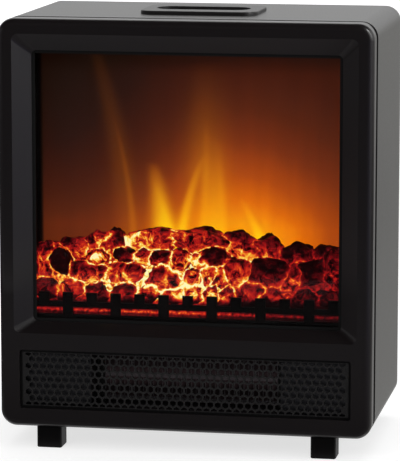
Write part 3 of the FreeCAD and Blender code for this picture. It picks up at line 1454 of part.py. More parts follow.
def build():
    casing_wrap()
    front_bezel()
    base_screws()
    feet()
    foot_screws()
    window_gasket()
    window_glass()
    chamber_liner()
    fuel_shelf()
    flame_screen()
    fire_grate()
    coal_bed()
    led_lamps()
    flicker_rod()
    flicker_mounts()
    outlet_grille()
    outlet_duct()
    heater_core()
    shaft_end = blower_housing()
    blower_impeller()
    blower_motor(shaft_end)
    rear_panel()
    terminal_block()
    controls()
    thermostat()
    tip_switch()
    carry_handle()
    doc.recompute()


def check():
    """Stop if any feature failed or any sub-part has no sound shape."""
    for item in doc.Objects:
        if "Invalid" in item.State or "Error" in item.State:
            raise RuntimeError(f"{item.Name} failed: {item.State}")
    for label, piece in nodes.items():
        if piece.Shape.isNull() or not piece.Shape.isValid():
            raise RuntimeError(f"{label} has no valid shape")


def export():
    os.makedirs("parts", exist_ok=True)
    for label, piece in nodes.items():
        piece.Shape.exportStep(f"parts/{label}.step")
        print(label, len(piece.Shape.Solids), "solid(s)", round(piece.Shape.Volume / 1000, 2), "cm3")
    print(len(nodes), "sub-parts")


build()
check()
export()
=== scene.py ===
# %% [markdown]
# # A tabletop electric fireplace
#
# The solids of this fireplace come from its CAD model: casing, front, grille, glass, feet, handle
# and the machinery inside. This lesson dresses them. It adds what is awkward in CAD, a bed of lit
# coals and a screen with flames, gives every surface the finish of the real material, and lights
# the result on a pale studio floor. Everything is in metres, in the CAD model's own frame: X to the
# right, Y to the back, Z up, with the origin on the table.

import json
import math

import bpy
import numpy as np
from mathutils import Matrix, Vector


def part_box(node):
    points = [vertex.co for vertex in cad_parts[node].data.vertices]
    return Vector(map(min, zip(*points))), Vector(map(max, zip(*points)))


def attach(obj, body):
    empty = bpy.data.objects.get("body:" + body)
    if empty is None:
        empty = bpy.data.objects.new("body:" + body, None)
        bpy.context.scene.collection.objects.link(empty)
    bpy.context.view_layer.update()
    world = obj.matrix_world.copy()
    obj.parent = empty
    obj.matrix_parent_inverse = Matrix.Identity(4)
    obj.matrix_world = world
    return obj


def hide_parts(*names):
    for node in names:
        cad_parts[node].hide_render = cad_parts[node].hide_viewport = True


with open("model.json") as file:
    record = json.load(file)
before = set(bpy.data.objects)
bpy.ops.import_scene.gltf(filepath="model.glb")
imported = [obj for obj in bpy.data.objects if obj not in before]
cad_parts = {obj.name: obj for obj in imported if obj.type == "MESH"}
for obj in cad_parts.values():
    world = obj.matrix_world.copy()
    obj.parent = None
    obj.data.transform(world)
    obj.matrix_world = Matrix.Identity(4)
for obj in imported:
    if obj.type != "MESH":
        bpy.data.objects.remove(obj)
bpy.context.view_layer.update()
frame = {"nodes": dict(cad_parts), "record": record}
MM = 0.001

# %% [markdown]
# ## Places taken from the solids
#
# New pieces have to sit on what carries them, so their places are read from the solids instead of
# being typed again. The coals lie on the shelf between the grate and the screen, and between the
# chamber's two walls. Reading the boxes of those nodes gives all of these limits.

# %% Measure the flame chamber
shelf_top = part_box("fuel_shelf")[1].z
grate_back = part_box("fire_grate")[1].y
screen_low, screen_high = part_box("flame_screen")
coal_low, coal_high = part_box("coal_bed")
print("coal bed in mm:", [round(v / MM, 1) for v in (*coal_low, *coal_high)])

# %% [markdown]
# ## Small helpers
#
# A few helpers serve the whole lesson. Colours are easiest to compare with a photograph as sRGB hex
# values, but shaders work in linear light, so one function converts them. One function adds a shader
# node and sets it up, with the help of one that gives a node's inputs their values and links. One
# function puts an array of points and faces into a mesh, and one keeps a number on each of its
# points. Two curves come back again and again, a bell and a straight ramp.

# %% Colours and nodes
# the colour sockets of a Mix node go by number, because their names repeat
MIX_FACTOR, MIX_A, MIX_B, MIX_RESULT = 0, 6, 7, 2


def linear(code):
    """Linear RGBA of an sRGB hex colour: c / 12.92 near black, else ((c + 0.055) / 1.055) ** 2.4."""
    parts = np.array([int(code[i:i + 2], 16) for i in (1, 3, 5)]) / 255
    return (*np.where(parts <= 0.04045, parts / 12.92, ((parts + 0.055) / 1.055) ** 2.4), 1.0)


def give(tree, node, inputs):
    """Give a node's inputs values or other nodes' outputs."""
    for name, value in inputs.items():
        if isinstance(value, bpy.types.NodeSocket):
            tree.links.new(value, node.inputs[name])
        else:
            node.inputs[name].default_value = value


def add(tree, kind, settings=None, inputs=None):
    """Add a node, set its properties, and give its inputs values or other nodes' outputs."""
    made = tree.nodes.new(kind)
    for name, value in (settings or {}).items():
        setattr(made, name, value)
    give(tree, made, inputs or {})
    return made


print("white is", [round(v, 3) for v in linear("#ffffff")])

# %% Meshes


def put(name, points, faces, body, smooth=True):
    """A mesh object at the origin from points in metres, riding on one body."""
    mesh = bpy.data.meshes.new(name)
    mesh.from_pydata(points, [], faces)
    mesh.update()
    mesh.polygons.foreach_set("use_smooth", np.full(len(mesh.polygons), smooth))
    piece = bpy.data.objects.new(name, mesh)
    bpy.context.scene.collection.objects.link(piece)
    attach(piece, body)
    return piece


def mark(piece, name, values):
    """Keep one number per vertex on the mesh, for a material to read."""
    layer = piece.data.attributes.new(name, "FLOAT", "POINT")
    layer.data.foreach_set("value", np.asarray(values, np.float32).ravel())


print("meshes before the new pieces:", len(bpy.data.meshes))

# %% Curves


def bell(value, middle, reach):
    """1 in the middle and 1 / e at the reach on either side: exp(-((v - middle) / reach) ** 2)."""
    return np.exp(-(((value - middle) / reach) ** 2))


def fade_in(value, start, stop):
    """0 before the start, 1 past the stop and a straight ramp between: (v - start) / (stop - start)."""
    return np.clip((value - start) / (stop - start), 0, 1)


print("half way up a ramp:", fade_in(0.5, 0, 1))

# %% [markdown]
# ## Grids
#
# Most new surfaces here are a grid of points bent into shape. The faces of a grid are the same
# whatever its shape: each one joins a point to the next in its row and to the two above. A grid that
# closes on itself, such as a ring, wraps the last column round to the first.

# %% Faces of a grid


def grid_faces(rows, columns, wrap=False):
    """Quads (i, j), (i, j+1), (i+1, j+1), (i+1, j) of a grid stored row by row."""
    i = np.arange(rows - 1)[:, None] * columns
    j = np.arange(columns if wrap else columns - 1)[None, :]
    after = (j + 1) % columns
    corners = [i + j, i + after, i + columns + after, i + columns + j]
    return np.stack(corners, axis=-1).reshape(-1, 4)


print("a 3 by 4 grid has", len(grid_faces(3, 4)), "faces")

# %% [markdown]
# ## Coals
#
# In the real fireplace the coals are one moulding of amber resin, sprayed black and lit from below.
# Light comes out where the paint is thin: in the clefts between the lumps and in patches on their
# faces. Spheres roughened by a noise would look like pebbles, because coal breaks along flat faces. So
# each lump is a sphere grid whose radius is cut by some random flat planes. A soft minimum of those
# planes rounds the edges between facets, and small waves roughen the skin.
#
# The lumps are laid out in three rows, like the CAD model's. Each has its place across, its
# height above the shelf, its width and its height in millimetres. Then come how much light its paint
# lets through, from 0 for none, and the spot on its face where the paint is thinnest, across and
# upwards, from -1 to 1.

# %% Lay out the coals
LOW_ROW = (
    (-134, 29, 23, 18, 0.25, 0, 0.3), (-112, 30, 26, 17, 0.75, 0, 0.5), (-86, 28, 21, 19, 0.35, 0, 0),
    (-60, 26, 22, 18, 0.45, 0, 0.2), (-38, 27, 22, 16, 0.9, 0, 0.5), (-15, 27, 22, 16, 0.9, 0.3, 0.3),
    (4, 28, 18, 18, 0.9, 0, 0.2), (20, 28, 17, 18, 0.85, 0, 0.2), (35, 26, 18, 18, 0.8, -0.2, 0),
    (54, 27, 22, 19, 0.7, -0.4, 0.2), (78, 27, 29, 18, 0.55, 0, 0.5), (105, 27, 28, 18, 0.4, -0.3, 0.3),
    (130, 28, 26, 19, 0.3, 0, 0.4),
)
MIDDLE_ROW = (
    (-137, 57, 18, 30, 0.75, 0, 0.1), (-120, 56, 20, 26, 0.05, 0, 0), (-95, 46, 38, 18, 0.85, 0.1, -0.4),
    (-84, 60, 21, 16, 1.35, 0, 0.1), (-60, 62, 19, 13, 0.15, 0, 0), (-59, 45, 32, 23, 0.75, -0.1, 0),
    (-44, 61, 17, 16, 0.85, 0, 0), (-26, 61, 24, 13, 0.4, -0.4, -0.3), (-24, 43, 32, 22, 0.65, 0.3, -0.3),
    (-9, 59, 19, 18, 1.0, 0, 0), (4, 43, 17, 18, 0.9, 0, 0), (8, 58, 14, 14, 0.6, -0.2, 0.2),
    (17, 46, 14, 16, 0.9, 0, 0), (20, 63, 22, 19, 0.18, 0.7, -0.6), (29, 44, 16, 20, 0.8, 0, 0.3),
    (43, 49, 23, 31, 0.75, 0.2, -0.1), (70, 46, 38, 28, 0.5, 0.2, -0.8), (94, 46, 20, 27, 0.75, 0, -0.2),
    (112, 49, 29, 26, 0.25, 0.8, -0.6), (129, 53, 18, 28, 0.5, 0.2, 0.2), (139, 46, 13, 30, 0.3, 0, 0),
)
TOP_ROW = (
    (-128, 63, 24, 18, 0.3, 0, 0.4), (-106, 65, 29, 24, 0.8, 0.2, -0.1), (-87, 73, 24, 20, 0.8, 0.1, 0.4),
    (-72, 70, 21, 24, 0.4, -0.5, 0.3), (-43, 73, 47, 26, 1.25, -0.35, 0.4),
    (5, 77, 51, 24, 0.75, -0.25, 0.55), (46, 71, 35, 26, 0.9, -0.1, -0.1), (68, 68, 25, 28, 0.85, 0.1, -0.5),
    (95, 62, 33, 22, 0.4, 0.3, -0.2), (123, 66, 23, 21, 0.15, -0.5, 0), (138, 58, 16, 22, 0.05, 0, 0),
)
ROW_SETBACKS = (7.0, 14.0, 23.0)
COAL_DEEP = 20.0

layout = np.array(LOW_ROW + MIDDLE_ROW + TOP_ROW)
count = len(layout)
across, rise, wide, tall, thinness = layout[:, :5].T
spots = layout[:, 5:7]
setbacks = np.repeat(ROW_SETBACKS, (len(LOW_ROW), len(MIDDLE_ROW), len(TOP_ROW)))
centres = np.stack([across * MM, grate_back + setbacks * MM, shelf_top + rise * MM], axis=1)
radii = np.stack([wide, np.full(count, COAL_DEEP), tall], axis=1) * 0.5 * MM
print(count, "coals")

# %% Directions of the sphere grid
AROUND, ALONG = 54, 32


def sphere_grid(around, along):
    """Unit directions in rings between two poles, and the faces that join them."""
    tilt = np.linspace(0, np.pi, along + 2)[1:-1, None]
    turn = np.linspace(0, 2 * np.pi, around, endpoint=False)[None, :]
    rings = np.stack([np.sin(tilt) * np.cos(turn), np.sin(tilt) * np.sin(turn),
                      np.cos(tilt) * np.ones_like(turn)], axis=-1).reshape(-1, 3)
    directions = np.vstack([rings, [[0, 0, 1], [0, 0, -1]]])
    quads = grid_faces(along, around, wrap=True)[:, ::-1]
    j = np.arange(around)
    after = (j + 1) % around
    last = (along - 1) * around
    top = np.stack([np.full(around, len(rings)), j, after], axis=1)
    bottom = np.stack([np.full(around, len(rings) + 1), last + after, last + j], axis=1)
    return directions, quads, np.vstack([top, bottom])


directions, sphere_quads, sphere_caps = sphere_grid(AROUND, ALONG)
print(len(directions), "directions for each coal")

# %% Facets and waves of each coal
PLANES, NEAREST, FARTHEST, SHARPNESS = 14, 0.72, 1.0, 28.0
WAVES, COARSEST, FINEST, WAVE_HEIGHT = 30, 3, 20, 0.17
LARGEST, TINY = 1.14, 1e-9

rng = np.random.default_rng(7)
facets = rng.normal(size=(count, PLANES, 3))
facets /= np.linalg.norm(facets, axis=-1, keepdims=True)
facet_reach = rng.uniform(NEAREST, FARTHEST, size=(count, PLANES))
waves = rng.normal(size=(count, WAVES, 3)) * rng.uniform(COARSEST, FINEST, size=(count, WAVES, 1))
wave_phase = rng.uniform(0, 2 * np.pi, size=(count, WAVES))
wave_number = np.linalg.norm(waves, axis=-1)


def skin(number, towards):
    """Radius of a coal in some directions n: (sum of (max(n.a, 0) / d) ** p) ** (-1 / p), a rounded
    polyhedron up to a largest radius, times the skin's waves, 1 + height * sum of
    sin(k.n + phase) / |k|."""
    facing = np.maximum(towards @ facets[number].T, 0) / facet_reach[number]
    broken = np.maximum((facing ** SHARPNESS).sum(-1), TINY) ** (-1 / SHARPNESS)
    ripple = np.sin(towards @ waves[number].T + wave_phase[number]) / wave_number[number]
    return np.minimum(broken, LARGEST) * (1 + WAVE_HEIGHT * ripple.sum(-1))


print("skin of the first coal:", np.round(skin(0, directions[:3]), 2))

# %% Shape the coals
FULLNESS = 1.15
MARGIN_MM = 0.3
low_corner = np.array(coal_low) + MARGIN_MM * MM
high_corner = np.array(coal_high) - MARGIN_MM * MM

skins = np.stack([skin(number, directions) for number in range(count)])
unfitted = directions[None] * skins[..., None] * radii[:, None, :] * FULLNESS
half_up = radii * FULLNESS * np.minimum((high_corner - centres) / unfitted.max(axis=1), 1)
half_down = radii * FULLNESS * np.minimum((low_corner - centres) / unfitted.min(axis=1), 1)
halves = np.where(directions[None] > 0, half_up[:, None, :], half_down[:, None, :])
lumps = centres[:, None, :] + directions[None] * skins[..., None] * halves
print("coal tops reach", round((lumps[..., 2].max() - shelf_top) / MM, 1), "mm above the shelf")

# %% [markdown]
# ## Where the coals glow
#
# The glow could be painted on by hand. Here it is worked out from the shapes, so that it still fits
# when a lump is moved. A point in a cleft is close to the surface of another coal, so its light falls
# off with that distance. On a face the light comes through round the spot where the paint is thinnest.
# The lamps are strongest a little left of the middle, and the right end stays dim, so both kinds of
# light are weighted by place. Low down, behind the grate, little light is left.

# %% How near the next coal lies
SEARCH_RADII = 1.8
FAR_MM = 1e3


def nearest_other(points, owner):
    """Distance in mm to the nearest other coal: (|q| / skin(q) - 1) times its mean radius, with the
    point seen from that coal's middle and scaled to its size, q = (p - c) / r."""
    best = np.full(len(points), FAR_MM)
    for number in range(count):
        away = points - centres[number]
        scaled = away / np.where(away > 0, half_up[number], half_down[number])
        length = np.linalg.norm(scaled, axis=1)
        near = (length < SEARCH_RADII) & (owner != number)
        surface = skin(number, scaled[near] / length[near, None])
        distance = (length[near] / surface - 1) * radii[number].mean() / MM
        best[near] = np.minimum(best[near], distance)
    return best


points = lumps.reshape(-1, 3)
owner = np.repeat(np.arange(count), len(directions))
gap_mm = np.clip(nearest_other(points, owner), 0, None)
print("points in clefts:", int((gap_mm < 1).sum()), "of", len(points))

# %% Light of the lamps
# strengths, and places in mm across from the middle and up from the shelf
WIDE_LIGHT, WIDE_X, WIDE_REACH = 0.5, -28, 70
NARROW_LIGHT, NARROW_X, NARROW_REACH, NARROW_Z, NARROW_RISE = 0.4, -5, 36, 40, 24
END_LIGHT, END_DROP, END_X, END_REACH = 0.42, 0.16, 40, 40
FOOT_LIGHT, FADE_MM, MOST_LIGHT = 1.3, 130, 1.15
SHADE_Z, SHADE_RISE, SHADE_LEAST = 20, 9, 0.14


def lamp_light(points):
    """Light of the lamps at a point: a wide and a narrow bell across the bed, ends of which the right
    one is dimmer, and a fade upwards."""
    x = points[:, 0] / MM
    z = (points[:, 2] - shelf_top) / MM
    wide = WIDE_LIGHT * bell(x, WIDE_X, WIDE_REACH)
    narrow = NARROW_LIGHT * bell(x, NARROW_X, NARROW_REACH) * bell(z, NARROW_Z, NARROW_RISE)
    ends = END_LIGHT - END_DROP * np.tanh((x - END_X) / END_REACH)
    return (wide + narrow + ends) * np.clip(FOOT_LIGHT - z / FADE_MM, 0, MOST_LIGHT)


def shelf_shade(points):
    """How much light is left low down behind the grate: a ramp from a seventh up to all of it."""
    return np.clip(((points[:, 2] - shelf_top) / MM - SHADE_Z) / SHADE_RISE, SHADE_LEAST, 1)


light = lamp_light(points)
shade = shelf_shade(points)
print("light from", round(float(light.min()), 2), "to", round(float(light.max()), 2))

# %% Work out the glow
CLEFT_MM = 1.4
LEVEL, LESS_UPWARDS, LESS_BACKWARDS = 0.7, 0.25, 0.3
PAINTED, EVEN_GLOW, SPOT_GLOW, SPOT_SPREAD = 0.1, 0.28, 0.62, 0.5
UNLIT_SHARE = 0.6

towards = np.tile(directions, (count, 1))
cleft = light * np.exp(-gap_mm / CLEFT_MM) * shade
from_spot = ((towards[:, [0, 2]] - spots[owner]) ** 2).sum(1)
facing = np.clip(LEVEL - LESS_UPWARDS * towards[:, 2] - LESS_BACKWARDS * towards[:, 1], 0, 1)
through = EVEN_GLOW + SPOT_GLOW * np.exp(-from_spot / SPOT_SPREAD)
ember = (PAINTED + thinness[owner] * through) * facing
ember *= (UNLIT_SHARE + (1 - UNLIT_SHARE) * np.clip(light, 0, 1)) * shade
print("clefts up to", round(float(cleft.max()), 2), "faces up to", round(float(ember.max()), 2))

# %% [markdown]
# ## The bank behind the coals
#
# Behind the lumps the moulding is a sloping bank of the same resin, and it shows in the gaps as the
# brightest glow of all. Without it the gaps would be black. It has one section all along, so it is a
# profile carried from one side wall to the other, with gentle waves.
# Low down, behind the slots of the grate, painted shade darkens it so that only a dull red comes
# through, with a brighter line along it a little above the shelf.

# %% Carry the bank's profile across
BANK_STEPS, BANK_ALONG = 110, 70
# distance behind the grate and height above the shelf, in mm
BANK_PROFILE = np.array([(1.0, 0.4), (1.0, 12), (5, 26), (12, 46),
                         (22, 57), (32, 66), (33.2, 60), (33.2, 0.4)])
WAVE_MM, WAVE_FROM_MM = 0.5, 14
# radians of a wave per metre across, how far it sways in radians, and lengths along the profile in mm
TURN_ACROSS, SWAY, SWAY_MM, TURN_MM = 160, 3, 9, 6

bank_across = np.linspace(low_corner[0], high_corner[0], BANK_STEPS)
lengths = np.concatenate([[0], np.cumsum(np.linalg.norm(np.diff(BANK_PROFILE, axis=0), axis=1))])
along = np.linspace(0, lengths[-1], BANK_ALONG)
bank_y = np.interp(along, lengths, BANK_PROFILE[:, 0])
bank_z = np.interp(along, lengths, BANK_PROFILE[:, 1])
sway = SWAY * np.sin(along / SWAY_MM)
wave = np.sin(bank_across[:, None] * TURN_ACROSS + sway) * np.sin(along / TURN_MM)
bank = np.stack(np.broadcast_arrays(
    bank_across[:, None],
    grate_back + bank_y * MM,
    shelf_top + bank_z * MM + WAVE_MM * MM * wave * (bank_z > WAVE_FROM_MM),
), axis=-1).reshape(-1, 3)
print("bank:", len(bank), "points")

# %% Paint the bank
# light left in the painted shade low down, light added above the shade and along the line, and heights above
# the shelf in mm
LOW_SHADED_LIGHT, LIT_ABOVE_SHADE, SHADE_ENDS_FROM_MM, SHADE_ENDS_AT_MM = 0.15, 0.72, 20, 30
LINE_LIGHT, LINE_MM, LINE_REACH_MM = 0.28, 12.6, 0.8
EVEN_BELOW_MM, EVENNESS = 15, 0.6

bank_rise = (bank[:, 2] - shelf_top) / MM
# painted shade: the bank is darker low down, behind the grate, with a brighter line through the shade
bright_line = LINE_LIGHT * bell(bank_rise, LINE_MM, LINE_REACH_MM)
bank_shade_and_line = LOW_SHADED_LIGHT + bright_line + LIT_ABOVE_SHADE * fade_in(bank_rise, SHADE_ENDS_FROM_MM, SHADE_ENDS_AT_MM)
bank_cleft = lamp_light(bank) ** np.where(bank_rise < EVEN_BELOW_MM, EVENNESS, 1.0) * bank_shade_and_line
print("bank glows up to", round(float(bank_cleft.max()), 2))

# %% Join coals and bank
first_points = np.arange(count)[:, None, None] * len(directions)
coal_quads = (sphere_quads[None] + first_points).reshape(-1, 4)
coal_caps = (sphere_caps[None] + first_points).reshape(-1, 3)
shift = len(points)
bank_faces = grid_faces(BANK_STEPS, BANK_ALONG, wrap=True)
first_cap = np.arange(BANK_ALONG)
last_cap = first_cap[::-1] + (BANK_STEPS - 1) * BANK_ALONG
faces = coal_quads.tolist() + coal_caps.tolist() + (bank_faces + shift).tolist()
faces += [(first_cap + shift).tolist(), (last_cap + shift).tolist()]
coals = put("coals", np.vstack([points, bank]), faces, "appliance")
mark(coals, "cleft", np.concatenate([cleft, bank_cleft]))
mark(coals, "ember", np.concatenate([ember, np.zeros(len(bank))]))
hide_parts("coal_bed")
print("coals:", len(coals.data.polygons), "faces")

# %% [markdown]
# ## Flames on the screen
#
# The flames of the real fireplace are light thrown up the back of a translucent screen by a turning
# rod of mirrors. What the eye sees is a soft orange wash, deepest low on the right, with a few
# yellow tongues that rise from the coals and thin out. Flames could be shaped in the air, but here
# they lie flat on the screen. It is a plain sheet, so the picture is a number at each point of a fine
# grid: one for the wash and one for the tongues.
#
# A tongue follows a curve with three control points from foot to tip, and its brightness across
# that curve is a bell whose width shrinks towards the tip. All places are in millimetres, across
# from the middle and up from the table.

# %% Work out the wash
ACROSS, UPWARD = 250, 216
LEAST_WASH, SIDE_WASH, SIDE_X, SIDE_REACH = 0.04, 0.13, -54, 80
COAL_WASH, COAL_Z, COAL_FADE = 0.295, 200, 70
RIGHT_WASH, RIGHT_X, RIGHT_REACH, RIGHT_Z, RIGHT_FADE, RIGHT_POWER = 0.6, 40, 82, 190, 81, 1.5
END_DARK, END_LIT = 10.5, 13.5
TOP_SHADE, TOP_FROM, TOP_TO = 0.4, 340, 360

sheet_x = np.linspace(screen_low.x, screen_high.x, ACROSS)
sheet_z = np.linspace(screen_low.z, screen_high.z, UPWARD)
X, Z = np.meshgrid(sheet_x / MM, sheet_z / MM)

top_wash = LEAST_WASH + SIDE_WASH * (0.5 + 0.5 * np.tanh((X - SIDE_X) / SIDE_REACH))
low_wash = COAL_WASH * np.exp(-np.clip(Z - COAL_Z, 0, None) / COAL_FADE)
right_fade = np.exp(-((np.clip(Z - RIGHT_Z, 0, None) / RIGHT_FADE) ** RIGHT_POWER))
right_wash = RIGHT_WASH * bell(X, RIGHT_X, RIGHT_REACH) * right_fade
shaded_ends = fade_in(screen_high.x / MM - np.abs(X), END_DARK, END_LIT)
shaded_top = 1 - TOP_SHADE * fade_in(Z, TOP_FROM, TOP_TO)
wash = np.clip(top_wash + low_wash + right_wash, 0, 1) * shaded_ends * shaded_top
print("wash from", round(float(wash.min()), 2), "to", round(float(wash.max()), 2))

# %% Work out the tongues
# x of foot, bend and tip; z of foot and tip; width at the foot; how much it narrows; strength; fading
TONGUES = (
    (12, 16, 14, 185, 345, 24.0, 0.35, 0.58, 1.8),
    (18, 20, 17, 185, 290, 10.0, 0.30, 0.58, 1.5),
    (6, 11, 10, 185, 300, 4.0, 0.30, 0.35, 1.0),
    (27, 26, 21, 185, 280, 4.5, 0.30, 0.35, 1.0),
    (-13, -9, 8, 185, 266, 7.0, 0.65, 0.95, 0.9),
    (-27, -31, -39, 185, 258, 15.0, 0.65, 1.00, 0.7),
    (-21, -26, -38, 185, 240, 6.0, 0.65, 0.50, 1.0),
    (-57, -59, -76, 185, 300, 4.0, 0.65, 0.24, 1.0),
    (-60, -66, -92, 185, 360, 15.0, 0.65, 0.11, 0.6),
    (4, 6, 12, 250, 350, 17.0, 0.20, 0.10, 0.7),
    (62, 54, 42, 185, 228, 9.0, 0.65, 1.00, 0.6),
    (70, 66, 58, 185, 206, 10.0, 0.65, 0.40, 1.0),
)
EDGE_POWER, START_MM = 2.4, 20


def tongue(foot, bend, tip, low, high, width, narrowing, strength, fading):
    """Bell exp(-|(x - line) / w| ** power) about a quadratic curve, times a fade (1 - h) ** f upwards."""
    h = fade_in(Z, low, high)
    line = (1 - h) ** 2 * foot + 2 * h * (1 - h) * bend + h ** 2 * tip
    spread = width * (1 - narrowing * h)
    started = fade_in(Z, low - START_MM, low)
    return strength * started * (1 - h) ** fading * np.exp(-(np.abs((X - line) / spread) ** EDGE_POWER))


tongues = 1 - np.prod([1 - tongue(*each) for each in TONGUES], axis=0)
print("tongues up to", round(float(tongues.max()), 2))

# %% Build the screen


def sheet_between(x, z, front_y, back_y):
    """A closed sheet: a fine grid in front, the same grid behind, and a rim of quads round the edge."""
    gx, gz = np.meshgrid(x, z)
    front_side = np.stack([gx, np.full_like(gx, front_y), gz], axis=-1).reshape(-1, 3)
    back_side = front_side.copy()
    back_side[:, 1] = back_y
    size = len(front_side)
    quads = grid_faces(len(z), len(x))
    index = np.arange(size).reshape(len(z), len(x))
    loop = np.concatenate([index[0, :-1], index[:-1, -1], index[-1, :0:-1], index[:0:-1, 0]])
    after = np.roll(loop, -1)
    rim = np.stack([loop, loop + size, after + size, after], axis=1)
    return np.vstack([front_side, back_side]), np.vstack([quads, quads[:, ::-1] + size, rim])


sheet_points, sheet_faces = sheet_between(sheet_x, sheet_z, screen_low.y, screen_high.y)
flame_sheet = put("flame_sheet", sheet_points, sheet_faces, "appliance", smooth=False)
mark(flame_sheet, "tongues", np.tile(tongues.ravel(), 2))
mark(flame_sheet, "wash", np.tile(wash.ravel(), 2))
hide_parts("flame_screen")
print("screen:", len(flame_sheet.data.polygons), "faces")

# %% [markdown]
# ## Finishes: moulded and painted blacks
#
# Most of the fireplace is black, and black things are told apart by their gloss and grain. Powder
# coat on steel has a shallow orange peel and a satin sheen that turns pale at a low angle. Moulded
# ABS has a fine, even spark texture. Both patterns are under a millimetre on the real object, which
# is finer than a pixel of the picture, so they are drawn at about twice that size. These finishes
# differ only in colour, gloss and grain, so one recipe with other numbers makes them all.

# %% A recipe for moulded and painted surfaces
finishes = {}
CLOUD_MM, UNEVEN_GLOSS = 45, 0.06


def fresh(name):
    """A new material, with its node tree, its shader and the place of each point on the piece."""
    material = bpy.data.materials.new(name)
    material.use_nodes = True
    tree = material.node_tree
    place = add(tree, "ShaderNodeTexCoord").outputs["Object"]
    return material, tree, tree.nodes["Principled BSDF"], place


def grained(name, colour, shade, roughness, grain_mm, depth_mm, specular=0.5, coat=0.0):
    """A finish with a mottled colour, uneven roughness and a raised grain of a given size and depth."""
    material, tree, shader, place = fresh(name)
    cloud = add(tree, "ShaderNodeTexNoise",
                inputs={"Vector": place, "Scale": 1 / (CLOUD_MM * MM), "Detail": 5.0})
    grain = add(tree, "ShaderNodeTexNoise",
                inputs={"Vector": place, "Scale": 1 / (grain_mm * MM), "Detail": 2.0, "Roughness": 0.6})
    mottle = add(tree, "ShaderNodeMix", {"data_type": "RGBA"},
                 {MIX_FACTOR: cloud.outputs["Fac"], MIX_A: linear(colour), MIX_B: linear(shade)})
    gloss = add(tree, "ShaderNodeMapRange",
                inputs={"Value": grain.outputs["Fac"], "To Min": roughness - UNEVEN_GLOSS,
                        "To Max": roughness + UNEVEN_GLOSS})
    raised = add(tree, "ShaderNodeBump",
                 inputs={"Height": grain.outputs["Fac"], "Strength": 0.5, "Distance": depth_mm * MM})
    give(tree, shader, {"Base Color": mottle.outputs[MIX_RESULT], "Roughness": gloss.outputs["Result"],
                        "Normal": raised.outputs["Normal"], "Specular IOR Level": specular,
                        "Coat Weight": coat})
    return material


# powder coat: satin, with an orange peel that breaks up the sheen
finishes["casing_steel"] = grained("powder_coated_steel", "#1d1c1b", "#232221", 0.36, 1.6, 0.05)
# spark-textured ABS: darker than the casing, with a soft even gloss
finishes["bezel_plastic"] = grained("moulded_abs_front", "#130f10", "#161213", 0.32, 1.2, 0.06)
# polypropylene: nearly black, with hardly any shine
finishes["foot_plastic"] = grained("moulded_polypropylene_foot", "#080707", "#0a0909", 0.5, 1.4, 0.06, 0.12)
# ABS again, a shade paler and duller than the front
finishes["handle_plastic"] = grained("moulded_abs_handle", "#1c1a1a", "#211f1f", 0.4, 1.2, 0.05)
# sprayed sheet: a thin flat paint, duller than powder coat
finishes["grille_steel"] = grained("sprayed_perforated_steel_with_painted_shadow", "#1b1a1a", "#201f1f", 0.45, 1.2, 0.03, 0.4)
print(len(finishes), "finishes of the outside")

# %% Finishes inside and of the controls
# stove paint: matt, so the chamber's walls stay dark beside the flames
finishes["liner_steel"] = grained("matt_stove_paint", "#0a0706", "#0d0908", 0.75, 1.5, 0.05, 0.15)
# a deep-textured moulding: stays black against the glow behind it
finishes["grate_plastic"] = grained("moulded_grate_black", "#040202", "#060303", 0.55, 1.4, 0.08, 0.08)
# silicone: dull and smooth
finishes["gasket_rubber"] = grained("silicone_rubber", "#0c0c0c", "#101010", 0.7, 1.0, 0.03, 0.3)
# ABS with a finer texture than the front's
finishes["control_plastic"] = grained("moulded_abs_control_plate", "#191818", "#1d1c1c", 0.42, 1.0, 0.04)
# polished ABS: smooth, with clear reflections
finishes["rocker_plastic"] = grained("polished_abs_rocker", "#121111", "#151414", 0.2, 2.5, 0.01, coat=0.3)
# glass-filled nylon: a greyish black with a dry look
finishes["heat_plastic"] = grained("glass_filled_nylon", "#1b1a19", "#22201f", 0.55, 1.5, 0.05)
# undyed nylon: a milky off-white
finishes["white_nylon"] = grained("natural_nylon", "#d8d4c8", "#cbc6b8", 0.45, 2.0, 0.03)
# white solder mask: bright and smooth, to throw the lamps' light forward
finishes["circuit_board"] = grained("white_solder_mask", "#d9d9d4", "#cfcfca", 0.35, 1.0, 0.01)
# winding tape: amber, with faint ridges
finishes["coil_tape"] = grained("yellow_winding_tape", "#b98a2a", "#a87a20", 0.4, 1.2, 0.05)
print(len(finishes), "moulded and painted finishes")

# %% [markdown]
# ## The grille's painted shadow
#
# Round the outlet's perforated plate the photograph shows a black outline, taken as the shadow in the
# plate's recess. The solid plate fills that recess, which leaves no room for a shadow, so the plate's
# border is painted black, from the lap behind the front's opening to a little inside it.

# %% Paint the recess's shadow on the grille's border
GRILLE_LAP_MM, SHADOW_WIDTH_MM, SHADOW_EDGE_MM = 4.0, 2.3, 0.3


